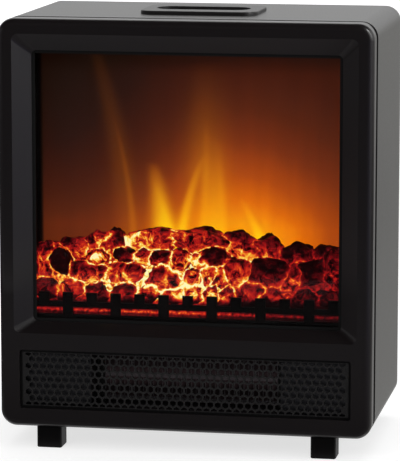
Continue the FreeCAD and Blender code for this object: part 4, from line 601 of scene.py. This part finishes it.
def paint_recess_shadow(material, node, width_mm):
    """Paint a recess's shadow in black on the border of an upright plate: the distance to the nearest edge
    of its box, in X and in Z, is the half size less the distance from the middle, and the painted shadow
    stops at a given width."""
    tree = material.node_tree
    base = tree.nodes["Principled BSDF"].inputs["Base Color"]
    low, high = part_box(node)
    middle, half = (low + high) / 2, (high - low) / 2
    place = add(tree, "ShaderNodeTexCoord").outputs["Object"]
    aside = add(tree, "ShaderNodeVectorMath", {"operation": "SUBTRACT"}, {0: place, 1: middle})
    away = add(tree, "ShaderNodeVectorMath", {"operation": "ABSOLUTE"}, {0: aside.outputs["Vector"]})
    left = add(tree, "ShaderNodeVectorMath", {"operation": "SUBTRACT"}, {0: half, 1: away.outputs["Vector"]})
    sides = add(tree, "ShaderNodeSeparateXYZ", inputs={"Vector": left.outputs["Vector"]}).outputs
    near = add(tree, "ShaderNodeMath", {"operation": "MINIMUM"}, {0: sides["X"], 1: sides["Z"]})
    inside = add(tree, "ShaderNodeMapRange",
                 inputs={"Value": near.outputs["Value"], "From Min": (width_mm - SHADOW_EDGE_MM) * MM,
                         "From Max": (width_mm + SHADOW_EDGE_MM) * MM})
    # the painted shadow: near-black on the border, the plate's own colour further in
    paint = add(tree, "ShaderNodeMix", {"data_type": "RGBA"},
                {MIX_FACTOR: inside.outputs["Result"], MIX_A: linear("#010101"),
                 MIX_B: base.links[0].from_socket})
    tree.links.new(paint.outputs[MIX_RESULT], base)


paint_recess_shadow(finishes["grille_steel"], "outlet_grille", GRILLE_LAP_MM + SHADOW_WIDTH_MM)
print("border of", GRILLE_LAP_MM + SHADOW_WIDTH_MM, "mm, lap included")

# %% [markdown]
# ## Finishes: bare metals
#
# Rolled, brushed and plated metals show fine lines along one direction. Stretching a noise along X
# draws those lines, and they vary the roughness more than the colour. The real lines are finer than
# a pixel, so they are drawn coarser here.

# %% A recipe for bare metal
DRAWN_OUT = 0.04
LINE_DEPTH_MM = 0.01


def metal(name, colour, roughness, line_mm, spread):
    """A metal whose roughness wavers in lines of a given width, drawn out along X."""
    material, tree, shader, place = fresh(name)
    drawn = add(tree, "ShaderNodeMapping", inputs={"Vector": place, "Scale": (DRAWN_OUT, 1.0, 1.0)})
    lines = add(tree, "ShaderNodeTexNoise",
                inputs={"Vector": drawn.outputs["Vector"], "Scale": 1 / (line_mm * MM), "Detail": 3.0})
    gloss = add(tree, "ShaderNodeMapRange",
                inputs={"Value": lines.outputs["Fac"], "To Min": roughness - spread,
                        "To Max": roughness + spread})
    raised = add(tree, "ShaderNodeBump",
                 inputs={"Height": lines.outputs["Fac"], "Strength": 0.2, "Distance": LINE_DEPTH_MM * MM})
    give(tree, shader, {"Base Color": linear(colour), "Metallic": 1.0,
                        "Roughness": gloss.outputs["Result"], "Normal": raised.outputs["Normal"]})
    return material


# zinc plate: bright and a little blue
finishes["zinc_steel"] = metal("zinc_plated_steel", "#b9bcc0", 0.34, 0.8, 0.08)
# galvanised sheet: a duller grey
finishes["duct_steel"] = metal("galvanised_steel", "#7c7d80", 0.42, 2.0, 0.1)
# rolled aluminium: pale, with the mill's lines
finishes["heater_aluminium"] = metal("rolled_aluminium", "#a6a7a9", 0.38, 1.2, 0.08)
# the edges of stacked sheets: dark and rough
finishes["motor_iron"] = metal("laminated_iron", "#6d6e72", 0.5, 0.6, 0.1)
# foil: nearly a mirror
finishes["mirror_foil"] = metal("mirror_foil", "#e6e7e9", 0.08, 2.0, 0.04)
print(len(finishes), "finishes so far")

# %% [markdown]
# ## A trace of warm light on the heater
#
# Deep in the outlet the photograph shows a faint brownish band, taken as the heater's fins. In this
# studio they come out nearly black, so a trace of warm light, under a hundredth of white, is added half
# way up them.

# %% Warm the heater's fins
BAND_COLOUR = "#140e0f"
BAND_MM, BAND_HALF_MM, BAND_FADE_MM, BAND_DIMMING = 61.5, 5, 5, 5 / 6


def warm_band(material, colour, middle_mm, half_mm, fade_mm):
    """Add light in a level band: all of it up to a half height from the middle, then fading to a sixth."""
    tree = material.node_tree
    place = add(tree, "ShaderNodeTexCoord").outputs["Object"]
    height = add(tree, "ShaderNodeSeparateXYZ", inputs={"Vector": place}).outputs["Z"]
    above = add(tree, "ShaderNodeMath", {"operation": "SUBTRACT"}, {0: height, 1: middle_mm * MM})
    away = add(tree, "ShaderNodeMath", {"operation": "ABSOLUTE"}, {0: above.outputs["Value"]})
    dimming = add(tree, "ShaderNodeMapRange",
                  inputs={"Value": away.outputs["Value"], "From Min": half_mm * MM,
                          "From Max": (half_mm + fade_mm) * MM, "To Max": BAND_DIMMING})
    glow = add(tree, "ShaderNodeMix", {"data_type": "RGBA"},
               {MIX_FACTOR: dimming.outputs["Result"], MIX_A: linear(colour), MIX_B: (0, 0, 0, 1)})
    give(tree, tree.nodes["Principled BSDF"],
         {"Emission Color": glow.outputs[MIX_RESULT], "Emission Strength": 1.0})


warm_band(finishes["heater_aluminium"], BAND_COLOUR, BAND_MM, BAND_HALF_MM, BAND_FADE_MM)
print("warm band at", BAND_MM, "mm")

# %% [markdown]
# ## Finishes: glass and lamp lenses
#
# The window is a flat pane of toughened glass with a coating against glare, so it reflects about a
# quarter of what bare glass does. A flat pane hardly bends the view whatever its index, so a low
# index stands for the coating. Faint cloudy streaks vary its roughness.

# %% Clear finishes
COATED_IOR, LENS_IOR = 1.19, 1.49
HAZE_MM = 60


def clear(name, colour, roughness, ior):
    """A clear solid: full transmission, with a roughness that wavers a little in wide clouds."""
    material, tree, shader, place = fresh(name)
    cloud = add(tree, "ShaderNodeTexNoise",
                inputs={"Vector": place, "Scale": 1 / (HAZE_MM * MM), "Detail": 3.0})
    haze = add(tree, "ShaderNodeMapRange",
               inputs={"Value": cloud.outputs["Fac"], "To Min": 0.0, "To Max": roughness})
    give(tree, shader, {"Base Color": linear(colour), "Transmission Weight": 1.0, "IOR": ior,
                        "Roughness": haze.outputs["Result"]})
    return material


# coated glass: hardly seen, but for a faint haze
finishes["window_glass"] = clear("coated_window_glass", "#f6f6f4", 0.012, COATED_IOR)
# tinted acrylic: amber and smooth
finishes["led_lens"] = clear("amber_lens", "#ffb050", 0.05, LENS_IOR)
print(len(finishes), "finishes with the clear ones")

# %% [markdown]
# ## Finishes: things that glow
#
# Coals and flames give their own light, so their colour goes into the emission of the shader. A
# ramp turns the number kept on each vertex into the colours of heat: black, dark red, orange,
# yellow and nearly white. A fine noise breaks up the numbers so that no two clefts look alike.

# %% A colour ramp of heat


def ramp(tree, factor, stops):
    """A colour ramp with one stop for each pair of place and sRGB colour."""
    made = add(tree, "ShaderNodeValToRGB", inputs={"Fac": factor})
    elements = made.color_ramp.elements
    while len(elements) < len(stops):
        elements.new(0.5)
    for element, (place, colour) in zip(elements, stops):
        element.position = place
        element.color = linear(colour)
    return made


HEAT = ((0.0, "#020000"), (0.10, "#1c0204"), (0.22, "#660a0f"), (0.34, "#a81616"), (0.46, "#ce3418"),
        (0.58, "#ea7620"), (0.72, "#f8b83a"), (0.86, "#fce06c"), (1.0, "#fff2b4"))
WASH = ((0.0, "#010000"), (0.1, "#190a04"), (0.16, "#260e07"), (0.25, "#3f1608"), (0.33, "#521f0b"),
        (0.45, "#712b0d"), (0.65, "#a5440a"), (0.82, "#d36404"), (0.9, "#e47a05"), (1.0, "#f09606"))
FLAME = ((0.0, "#c46408"), (0.35, "#e48a08"), (0.65, "#f2a80a"), (1.0, "#fad010"))
print("stops:", len(HEAT), len(WASH), len(FLAME))

# %% Coal resin
CRUST_MM, CRUST_DEEP_MM, SPECKLE_MM = 9, 1.2, 3
THIN_CRUST = {"From Min": 0.36, "From Max": 0.66, "To Min": 0.05, "To Max": 1.2}
UNEVEN_CLEFT = {"From Min": 0.3, "From Max": 0.7, "To Min": 0.35, "To Max": 1.65}
CRACK_MM, CRACK_WIDE, CRACK_LIGHT, CRACK_BEND_MM = 11, 0.07, 0.3, 4


def coal_resin():
    """Amber resin sprayed black: lit in the clefts, through patches of thin crust and along fine cracks."""
    material, tree, shader, place = fresh("sprayed_amber_resin")
    cleft_at = add(tree, "ShaderNodeAttribute", {"attribute_name": "cleft"}).outputs["Fac"]
    ember_at = add(tree, "ShaderNodeAttribute", {"attribute_name": "ember"}).outputs["Fac"]
    crust = add(tree, "ShaderNodeTexNoise",
                inputs={"Vector": place, "Scale": 1 / (CRUST_MM * MM), "Detail": 4.0,
                        "Roughness": 0.65, "Distortion": 0.8})
    thin = add(tree, "ShaderNodeMapRange", inputs={"Value": crust.outputs["Fac"], **THIN_CRUST})
    speckle = add(tree, "ShaderNodeTexNoise",
                  inputs={"Vector": place, "Scale": 1 / (SPECKLE_MM * MM), "Detail": 3.0})
    uneven = add(tree, "ShaderNodeMapRange", inputs={"Value": speckle.outputs["Fac"], **UNEVEN_CLEFT})
    bent = add(tree, "ShaderNodeVectorMath", {"operation": "MULTIPLY_ADD"},
               {0: crust.outputs["Color"], 1: (CRACK_BEND_MM * MM,) * 3, 2: place})
    crazing = add(tree, "ShaderNodeTexVoronoi", {"feature": "DISTANCE_TO_EDGE"},
                  {"Vector": bent.outputs["Vector"], "Scale": 1 / (CRACK_MM * MM)})
    crack = add(tree, "ShaderNodeMapRange",
                inputs={"Value": crazing.outputs["Distance"], "From Max": CRACK_WIDE,
                        "To Min": CRACK_LIGHT, "To Max": 0.0})
    open_paint = add(tree, "ShaderNodeMath", {"operation": "ADD"},
                     {0: thin.outputs["Result"], 1: crack.outputs["Result"]})
    faces = add(tree, "ShaderNodeMath", {"operation": "MULTIPLY"},
                {0: ember_at, 1: open_paint.outputs["Value"]})
    clefts = add(tree, "ShaderNodeMath", {"operation": "MULTIPLY"},
                 {0: cleft_at, 1: uneven.outputs["Result"]})
    hot = add(tree, "ShaderNodeMath", {"operation": "ADD"},
              {0: faces.outputs["Value"], 1: clefts.outputs["Value"]})
    heat = ramp(tree, hot.outputs["Value"], HEAT)
    raised = add(tree, "ShaderNodeBump", inputs={"Height": crust.outputs["Fac"], "Strength": 0.8,
                                                 "Distance": CRUST_DEEP_MM * MM})
    give(tree, shader, {"Base Color": linear("#040101"), "Roughness": 0.6, "Specular IOR Level": 0.06,
                        "Normal": raised.outputs["Normal"], "Emission Color": heat.outputs["Color"],
                        "Emission Strength": 1.12})
    return material


finishes["coal_resin"] = coal_resin()
print("crust of", CRUST_MM, "mm, speckle of", SPECKLE_MM, "mm")

# %% Flame screen
DRIFT_MM, DRIFT_UP = 14, 0.12
DRIFT_LEAST, DRIFT_MOST = 0.92, 1.08


def flame_screen():
    """Translucent acrylic with light thrown on it: a wash of orange, and yellow tongues over it."""
    material, tree, shader, place = fresh("lit_acrylic_screen")
    wash_at = add(tree, "ShaderNodeAttribute", {"attribute_name": "wash"}).outputs["Fac"]
    tongues_at = add(tree, "ShaderNodeAttribute", {"attribute_name": "tongues"}).outputs["Fac"]
    drawn = add(tree, "ShaderNodeMapping", inputs={"Vector": place, "Scale": (1.0, 1.0, DRIFT_UP)})
    drift = add(tree, "ShaderNodeTexNoise",
                inputs={"Vector": drawn.outputs["Vector"], "Scale": 1 / (DRIFT_MM * MM), "Detail": 3.0})
    spread = add(tree, "ShaderNodeMapRange",
                 inputs={"Value": drift.outputs["Fac"], "To Min": DRIFT_LEAST, "To Max": DRIFT_MOST})
    uneven = add(tree, "ShaderNodeMath", {"operation": "MULTIPLY"},
                 {0: wash_at, 1: spread.outputs["Result"]})
    back = ramp(tree, uneven.outputs["Value"], WASH)
    yellow = ramp(tree, tongues_at, FLAME)
    lit = add(tree, "ShaderNodeMix", {"data_type": "RGBA"},
              {MIX_FACTOR: tongues_at, MIX_A: back.outputs["Color"], MIX_B: yellow.outputs["Color"]})
    give(tree, shader, {"Base Color": linear("#060403"), "Roughness": 0.6, "Specular IOR Level": 0.2,
                        "Emission Color": lit.outputs[MIX_RESULT], "Emission Strength": 1.2})
    return material


finishes["flame_screen"] = flame_screen()
print(len(finishes), "finishes in all")

# %% [markdown]
# ## Dressing the solids
#
# The record names a material slot for every node, and the finishes are kept under the names of those
# slots. So one loop dresses all the solids, and the two new pieces get theirs beside it.

# %% Give every solid its finish
slots = {part["node"]: part["material_slot"] for part in frame["record"]["subparts"]}
for name, solid in frame["nodes"].items():
    for holder in solid.material_slots:
        holder.material = finishes[slots[name]]
for piece, slot in ((coals, "coal_resin"), (flame_sheet, "flame_screen")):
    piece.data.materials.append(finishes[slot])
print("finished", len(slots), "solids")

# %% [markdown]
# ## Studio
#
# The fireplace stands on a white floor that runs out of sight under a white sky. Both look white to
# the camera, in mirrors and through glass, and give off less light to everything else, so that the
# object is lit at a plain level. The pale sheen on the top and the side is this white room seen in
# the satin paint.

# %% Stage pieces
scene = bpy.context.scene
scene.view_settings.view_transform = "Standard"
WHITE = (1, 1, 1, 1)


def stage_piece(name, points, faces, paint):
    """A part of the studio that isn't part of the fireplace."""
    mesh = bpy.data.meshes.new(name)
    mesh.from_pydata(points, [], faces)
    mesh.materials.append(paint)
    piece = bpy.data.objects.new(name, mesh)
    scene.collection.objects.link(piece)
    return piece


def looked_at(tree):
    """1 for rays that show the picture, straight or by way of mirrors and glass, and 0 for the rest."""
    seen = add(tree, "ShaderNodeLightPath").outputs
    first = add(tree, "ShaderNodeMath", {"operation": "MAXIMUM"},
                {0: seen["Is Camera Ray"], 1: seen["Is Transmission Ray"]})
    return add(tree, "ShaderNodeMath", {"operation": "MAXIMUM"},
               {0: first.outputs["Value"], 1: seen["Is Glossy Ray"]}).outputs["Value"]


print("view transform:", scene.view_settings.view_transform)

# %% Floor
FLOOR_REACH = 30.0
NEAR_M, FAR_M = 0.3, 2.2
NEAR_GLOW, FAR_GLOW = 0.7, 1.0

floor_paint, tree, shader, place = fresh("white_studio_floor")
view = looked_at(tree)
away = add(tree, "ShaderNodeVectorMath", {"operation": "LENGTH"}, {0: place})
far = add(tree, "ShaderNodeMapRange", {"interpolation_type": "SMOOTHSTEP"},
          {"Value": away.outputs["Value"], "From Min": NEAR_M, "From Max": FAR_M,
           "To Min": NEAR_GLOW, "To Max": FAR_GLOW})
lift = add(tree, "ShaderNodeMath", {"operation": "MULTIPLY"}, {0: view, 1: far.outputs["Result"]})
albedo = add(tree, "ShaderNodeMix", {"data_type": "RGBA"},
             {MIX_FACTOR: view, MIX_A: linear("#eeeeee"), MIX_B: linear("#b0b0b0")})
give(tree, shader, {"Base Color": albedo.outputs[MIX_RESULT], "Roughness": 0.9, "Specular IOR Level": 0.0,
                    "Emission Color": WHITE, "Emission Strength": lift.outputs["Value"]})
corners = FLOOR_REACH * np.array([(-1, -1, 0), (1, -1, 0), (1, 1, 0), (-1, 1, 0)])
stage_piece("floor", corners, [(0, 1, 2, 3)], floor_paint)
print("floor reaches", FLOOR_REACH, "m")

# %% World
SKY_LIGHT, SKY_SEEN = 0.4, 1.0

world = bpy.data.worlds.new("white_room")
scene.world = world
world.use_nodes = True
tree = world.node_tree
tree.nodes.clear()
level = add(tree, "ShaderNodeMapRange",
            inputs={"Value": looked_at(tree), "To Min": SKY_LIGHT, "To Max": SKY_SEEN})
room = add(tree, "ShaderNodeBackground", inputs={"Color": WHITE, "Strength": level.outputs["Result"]})
add(tree, "ShaderNodeOutputWorld", inputs={"Surface": room.outputs[0]})
print("sky gives", SKY_LIGHT, "of white")

# %% [markdown]
# ## Flags
#
# The front would show the white room too, so flags stand before it and beside it, out of the picture,
# that only mirrors and glass show: walls in front and to the left, a black canopy and grey cloths on
# the floor. The lighter cloths lie where the lower front and the right side look, a small one hangs
# where the upper bevel looks, and the darkest lie to the left, where the right bevel looks. Far
# behind, three pale steps lead from the floor to the white sky, so that the sheen fades round the
# casing's right shoulder.

# %% A recipe for flags


def flag(name, colour, sides, profile, rise=0.0):
    """A cloth carried from one side to the other, which may lie higher, shining evenly, that only
    mirrors and glass show."""
    cloth = bpy.data.materials.new(name + "_cloth")
    cloth.use_nodes = True
    tree = cloth.node_tree
    tree.nodes.remove(tree.nodes["Principled BSDF"])
    dim = add(tree, "ShaderNodeEmission", inputs={"Color": linear(colour), "Strength": 1.0})
    tree.links.new(dim.outputs[0], tree.nodes["Material Output"].inputs["Surface"])
    points = np.array([(x, y, z + lift) for x, lift in zip(sides, (0.0, rise)) for y, z in profile])
    piece = stage_piece(name, points, grid_faces(2, len(profile)).tolist(), cloth)
    piece.visible_camera = False
    piece.visible_diffuse = False
    piece.visible_shadow = False


ROOM_SIDE, ROOM_FRONT, ROOM_BACK, ROOM_TOP = 4.0, -3.6, 3.0, 3.6
print("room:", 2 * ROOM_SIDE, "m wide,", ROOM_TOP, "m high")

# %% Walls and canopy
CASE_FRONT, CASE_RIGHT, FAR_BACK = -0.1, 0.18, 5.0
# heights that keep the cloths on the floor apart
UNDER, BETWEEN, OVER = 0.002, 0.003, 0.004
LEFT_SPLIT, LEFT_UPPER = 1.4, 2.2
STEP_HIGH, STEP_COLOURS = 0.27, ("#c8c7c4", "#d6d5d3", "#e6e6e4")

whole_width = (-ROOM_SIDE, ROOM_SIDE)
left_side = (-ROOM_SIDE, -ROOM_SIDE)
flag("front_wall", "#3a383a", whole_width,
     ((CASE_FRONT, UNDER), (ROOM_FRONT, UNDER), (ROOM_FRONT, ROOM_TOP)))
flag("canopy", "#060606", whole_width, ((ROOM_FRONT, ROOM_TOP), (ROOM_BACK, ROOM_TOP)))
flag("left_wall", "#a4a2a4", left_side, ((ROOM_BACK, UNDER), (ROOM_FRONT, UNDER)), rise=LEFT_SPLIT)
flag("left_upper_wall", "#1c1a1a", left_side,
     ((ROOM_BACK, LEFT_SPLIT + UNDER), (ROOM_FRONT, LEFT_SPLIT + UNDER)), rise=LEFT_UPPER)
for step, colour in enumerate(STEP_COLOURS):
    flag(f"back_wall_{step}", colour, (CASE_RIGHT, ROOM_SIDE),
         ((FAR_BACK, STEP_HIGH * step), (FAR_BACK, STEP_HIGH * step + STEP_HIGH)))
print("walls and canopy are in")

# %% Cloths
# name; colour; x of its two sides; y of its two ends; height
CLOTHS = (
    ("near_cloth", "#605e60", (-1.0, 1.0), (-0.105, -0.16), BETWEEN),
    ("bevel_cloth", "#a09ea0", (-0.32, 0.12), (-0.13, -0.2), 0.14),
    ("low_cloth", "#6e6c6e", (-0.85, 0.4), (-0.28, -0.9), BETWEEN),
    ("left_cloth", "#1c1a1a", (-ROOM_SIDE, -0.9), (0.3, ROOM_FRONT), OVER),
    ("left_rear_cloth", "#1c1a1a", (-ROOM_SIDE, -0.2), (ROOM_BACK, -0.09), BETWEEN),
    ("right_cloth", "#767390", (0.45, ROOM_SIDE), (-0.35, -2.0), OVER),
    ("right_floor", "#c3c2bf", (CASE_RIGHT, ROOM_SIDE), (CASE_FRONT, FAR_BACK), UNDER),
    ("right_dark", "#262626", (0.6, ROOM_SIDE), (-0.35, 1.6), BETWEEN),
)
for name, colour, sides, ends, height in CLOTHS:
    flag(name, colour, sides, [(y, height) for y in ends])
print(len(CLOTHS), "cloths are in")

# %% [markdown]
# ## Soft boxes
#
# Soft boxes above, in front and to the right give a plain level of light. Those above and in front
# would show as hard patches in the gloss, so mirrors pass them by. A small box high on the right does
# the opposite: it shows only in the gloss, as the streak on the front's top right corner.

# %% Soft boxes
MIDDLE = (0.0, 0.0, 0.2)
TOP_RIGHT = (0.16, -0.09, 0.39)


def soft_box(name, place, aim, width, height, watts):
    """A rectangular lamp at a place, turned to look at a point."""
    lamp = bpy.data.lights.new(name, "AREA")
    lamp.shape = "RECTANGLE"
    lamp.size = width
    lamp.size_y = height
    lamp.energy = watts
    holder = bpy.data.objects.new(name, lamp)
    scene.collection.objects.link(holder)
    look = np.array(aim) - np.array(place)
    flat = math.hypot(look[0], look[1])
    holder.location = place
    holder.rotation_euler = (math.atan2(flat, -look[2]), 0.0, math.atan2(-look[0], look[1]))
    return holder


# name; place; aim; width and height in metres; watts
overhead = soft_box("overhead_box", (0.2, 0.5, 2.2), MIDDLE, 2.0, 1.6, 22.0)
overhead.visible_glossy = False
front_lamp = soft_box("front_box", (-0.35, -2.5, 1.7), MIDDLE, 1.4, 1.4, 22.0)
front_lamp.visible_glossy = False
soft_box("right_box", (2.2, -0.6, 1.2), MIDDLE, 1.2, 1.2, 14.0)
corner_lamp = soft_box("corner_box", (1.85, -0.68, 2.13), TOP_RIGHT, 0.4, 0.4, 22.0)
corner_lamp.visible_diffuse = False

# %% [markdown]
# ## Camera
#
# The photograph was taken with a long lens from the right and a little above. The place, the turn
# and the lens come from matching the corners of the casing in the picture.

# %% Camera
PICTURE_HEIGHT_PX = 461
FOCAL_PX = 3033.3
SENSOR_MM = 36.0
CAMERA_PLACE = (0.5001, -2.7249, 0.6289)
LOOKS_DOWN, TURNS_LEFT = 9.009, 10.464

camera_data = bpy.data.cameras.new("camera")
camera_data.sensor_width = SENSOR_MM
camera_data.lens = FOCAL_PX / PICTURE_HEIGHT_PX * SENSOR_MM
camera_data.clip_end = 100.0
camera = bpy.data.objects.new("camera", camera_data)
scene.collection.objects.link(camera)
camera.location = CAMERA_PLACE
camera.rotation_euler = (math.radians(90 - LOOKS_DOWN), 0.0, math.radians(TURNS_LEFT))
scene.camera = camera
print("lens", round(camera_data.lens, 1), "mm")
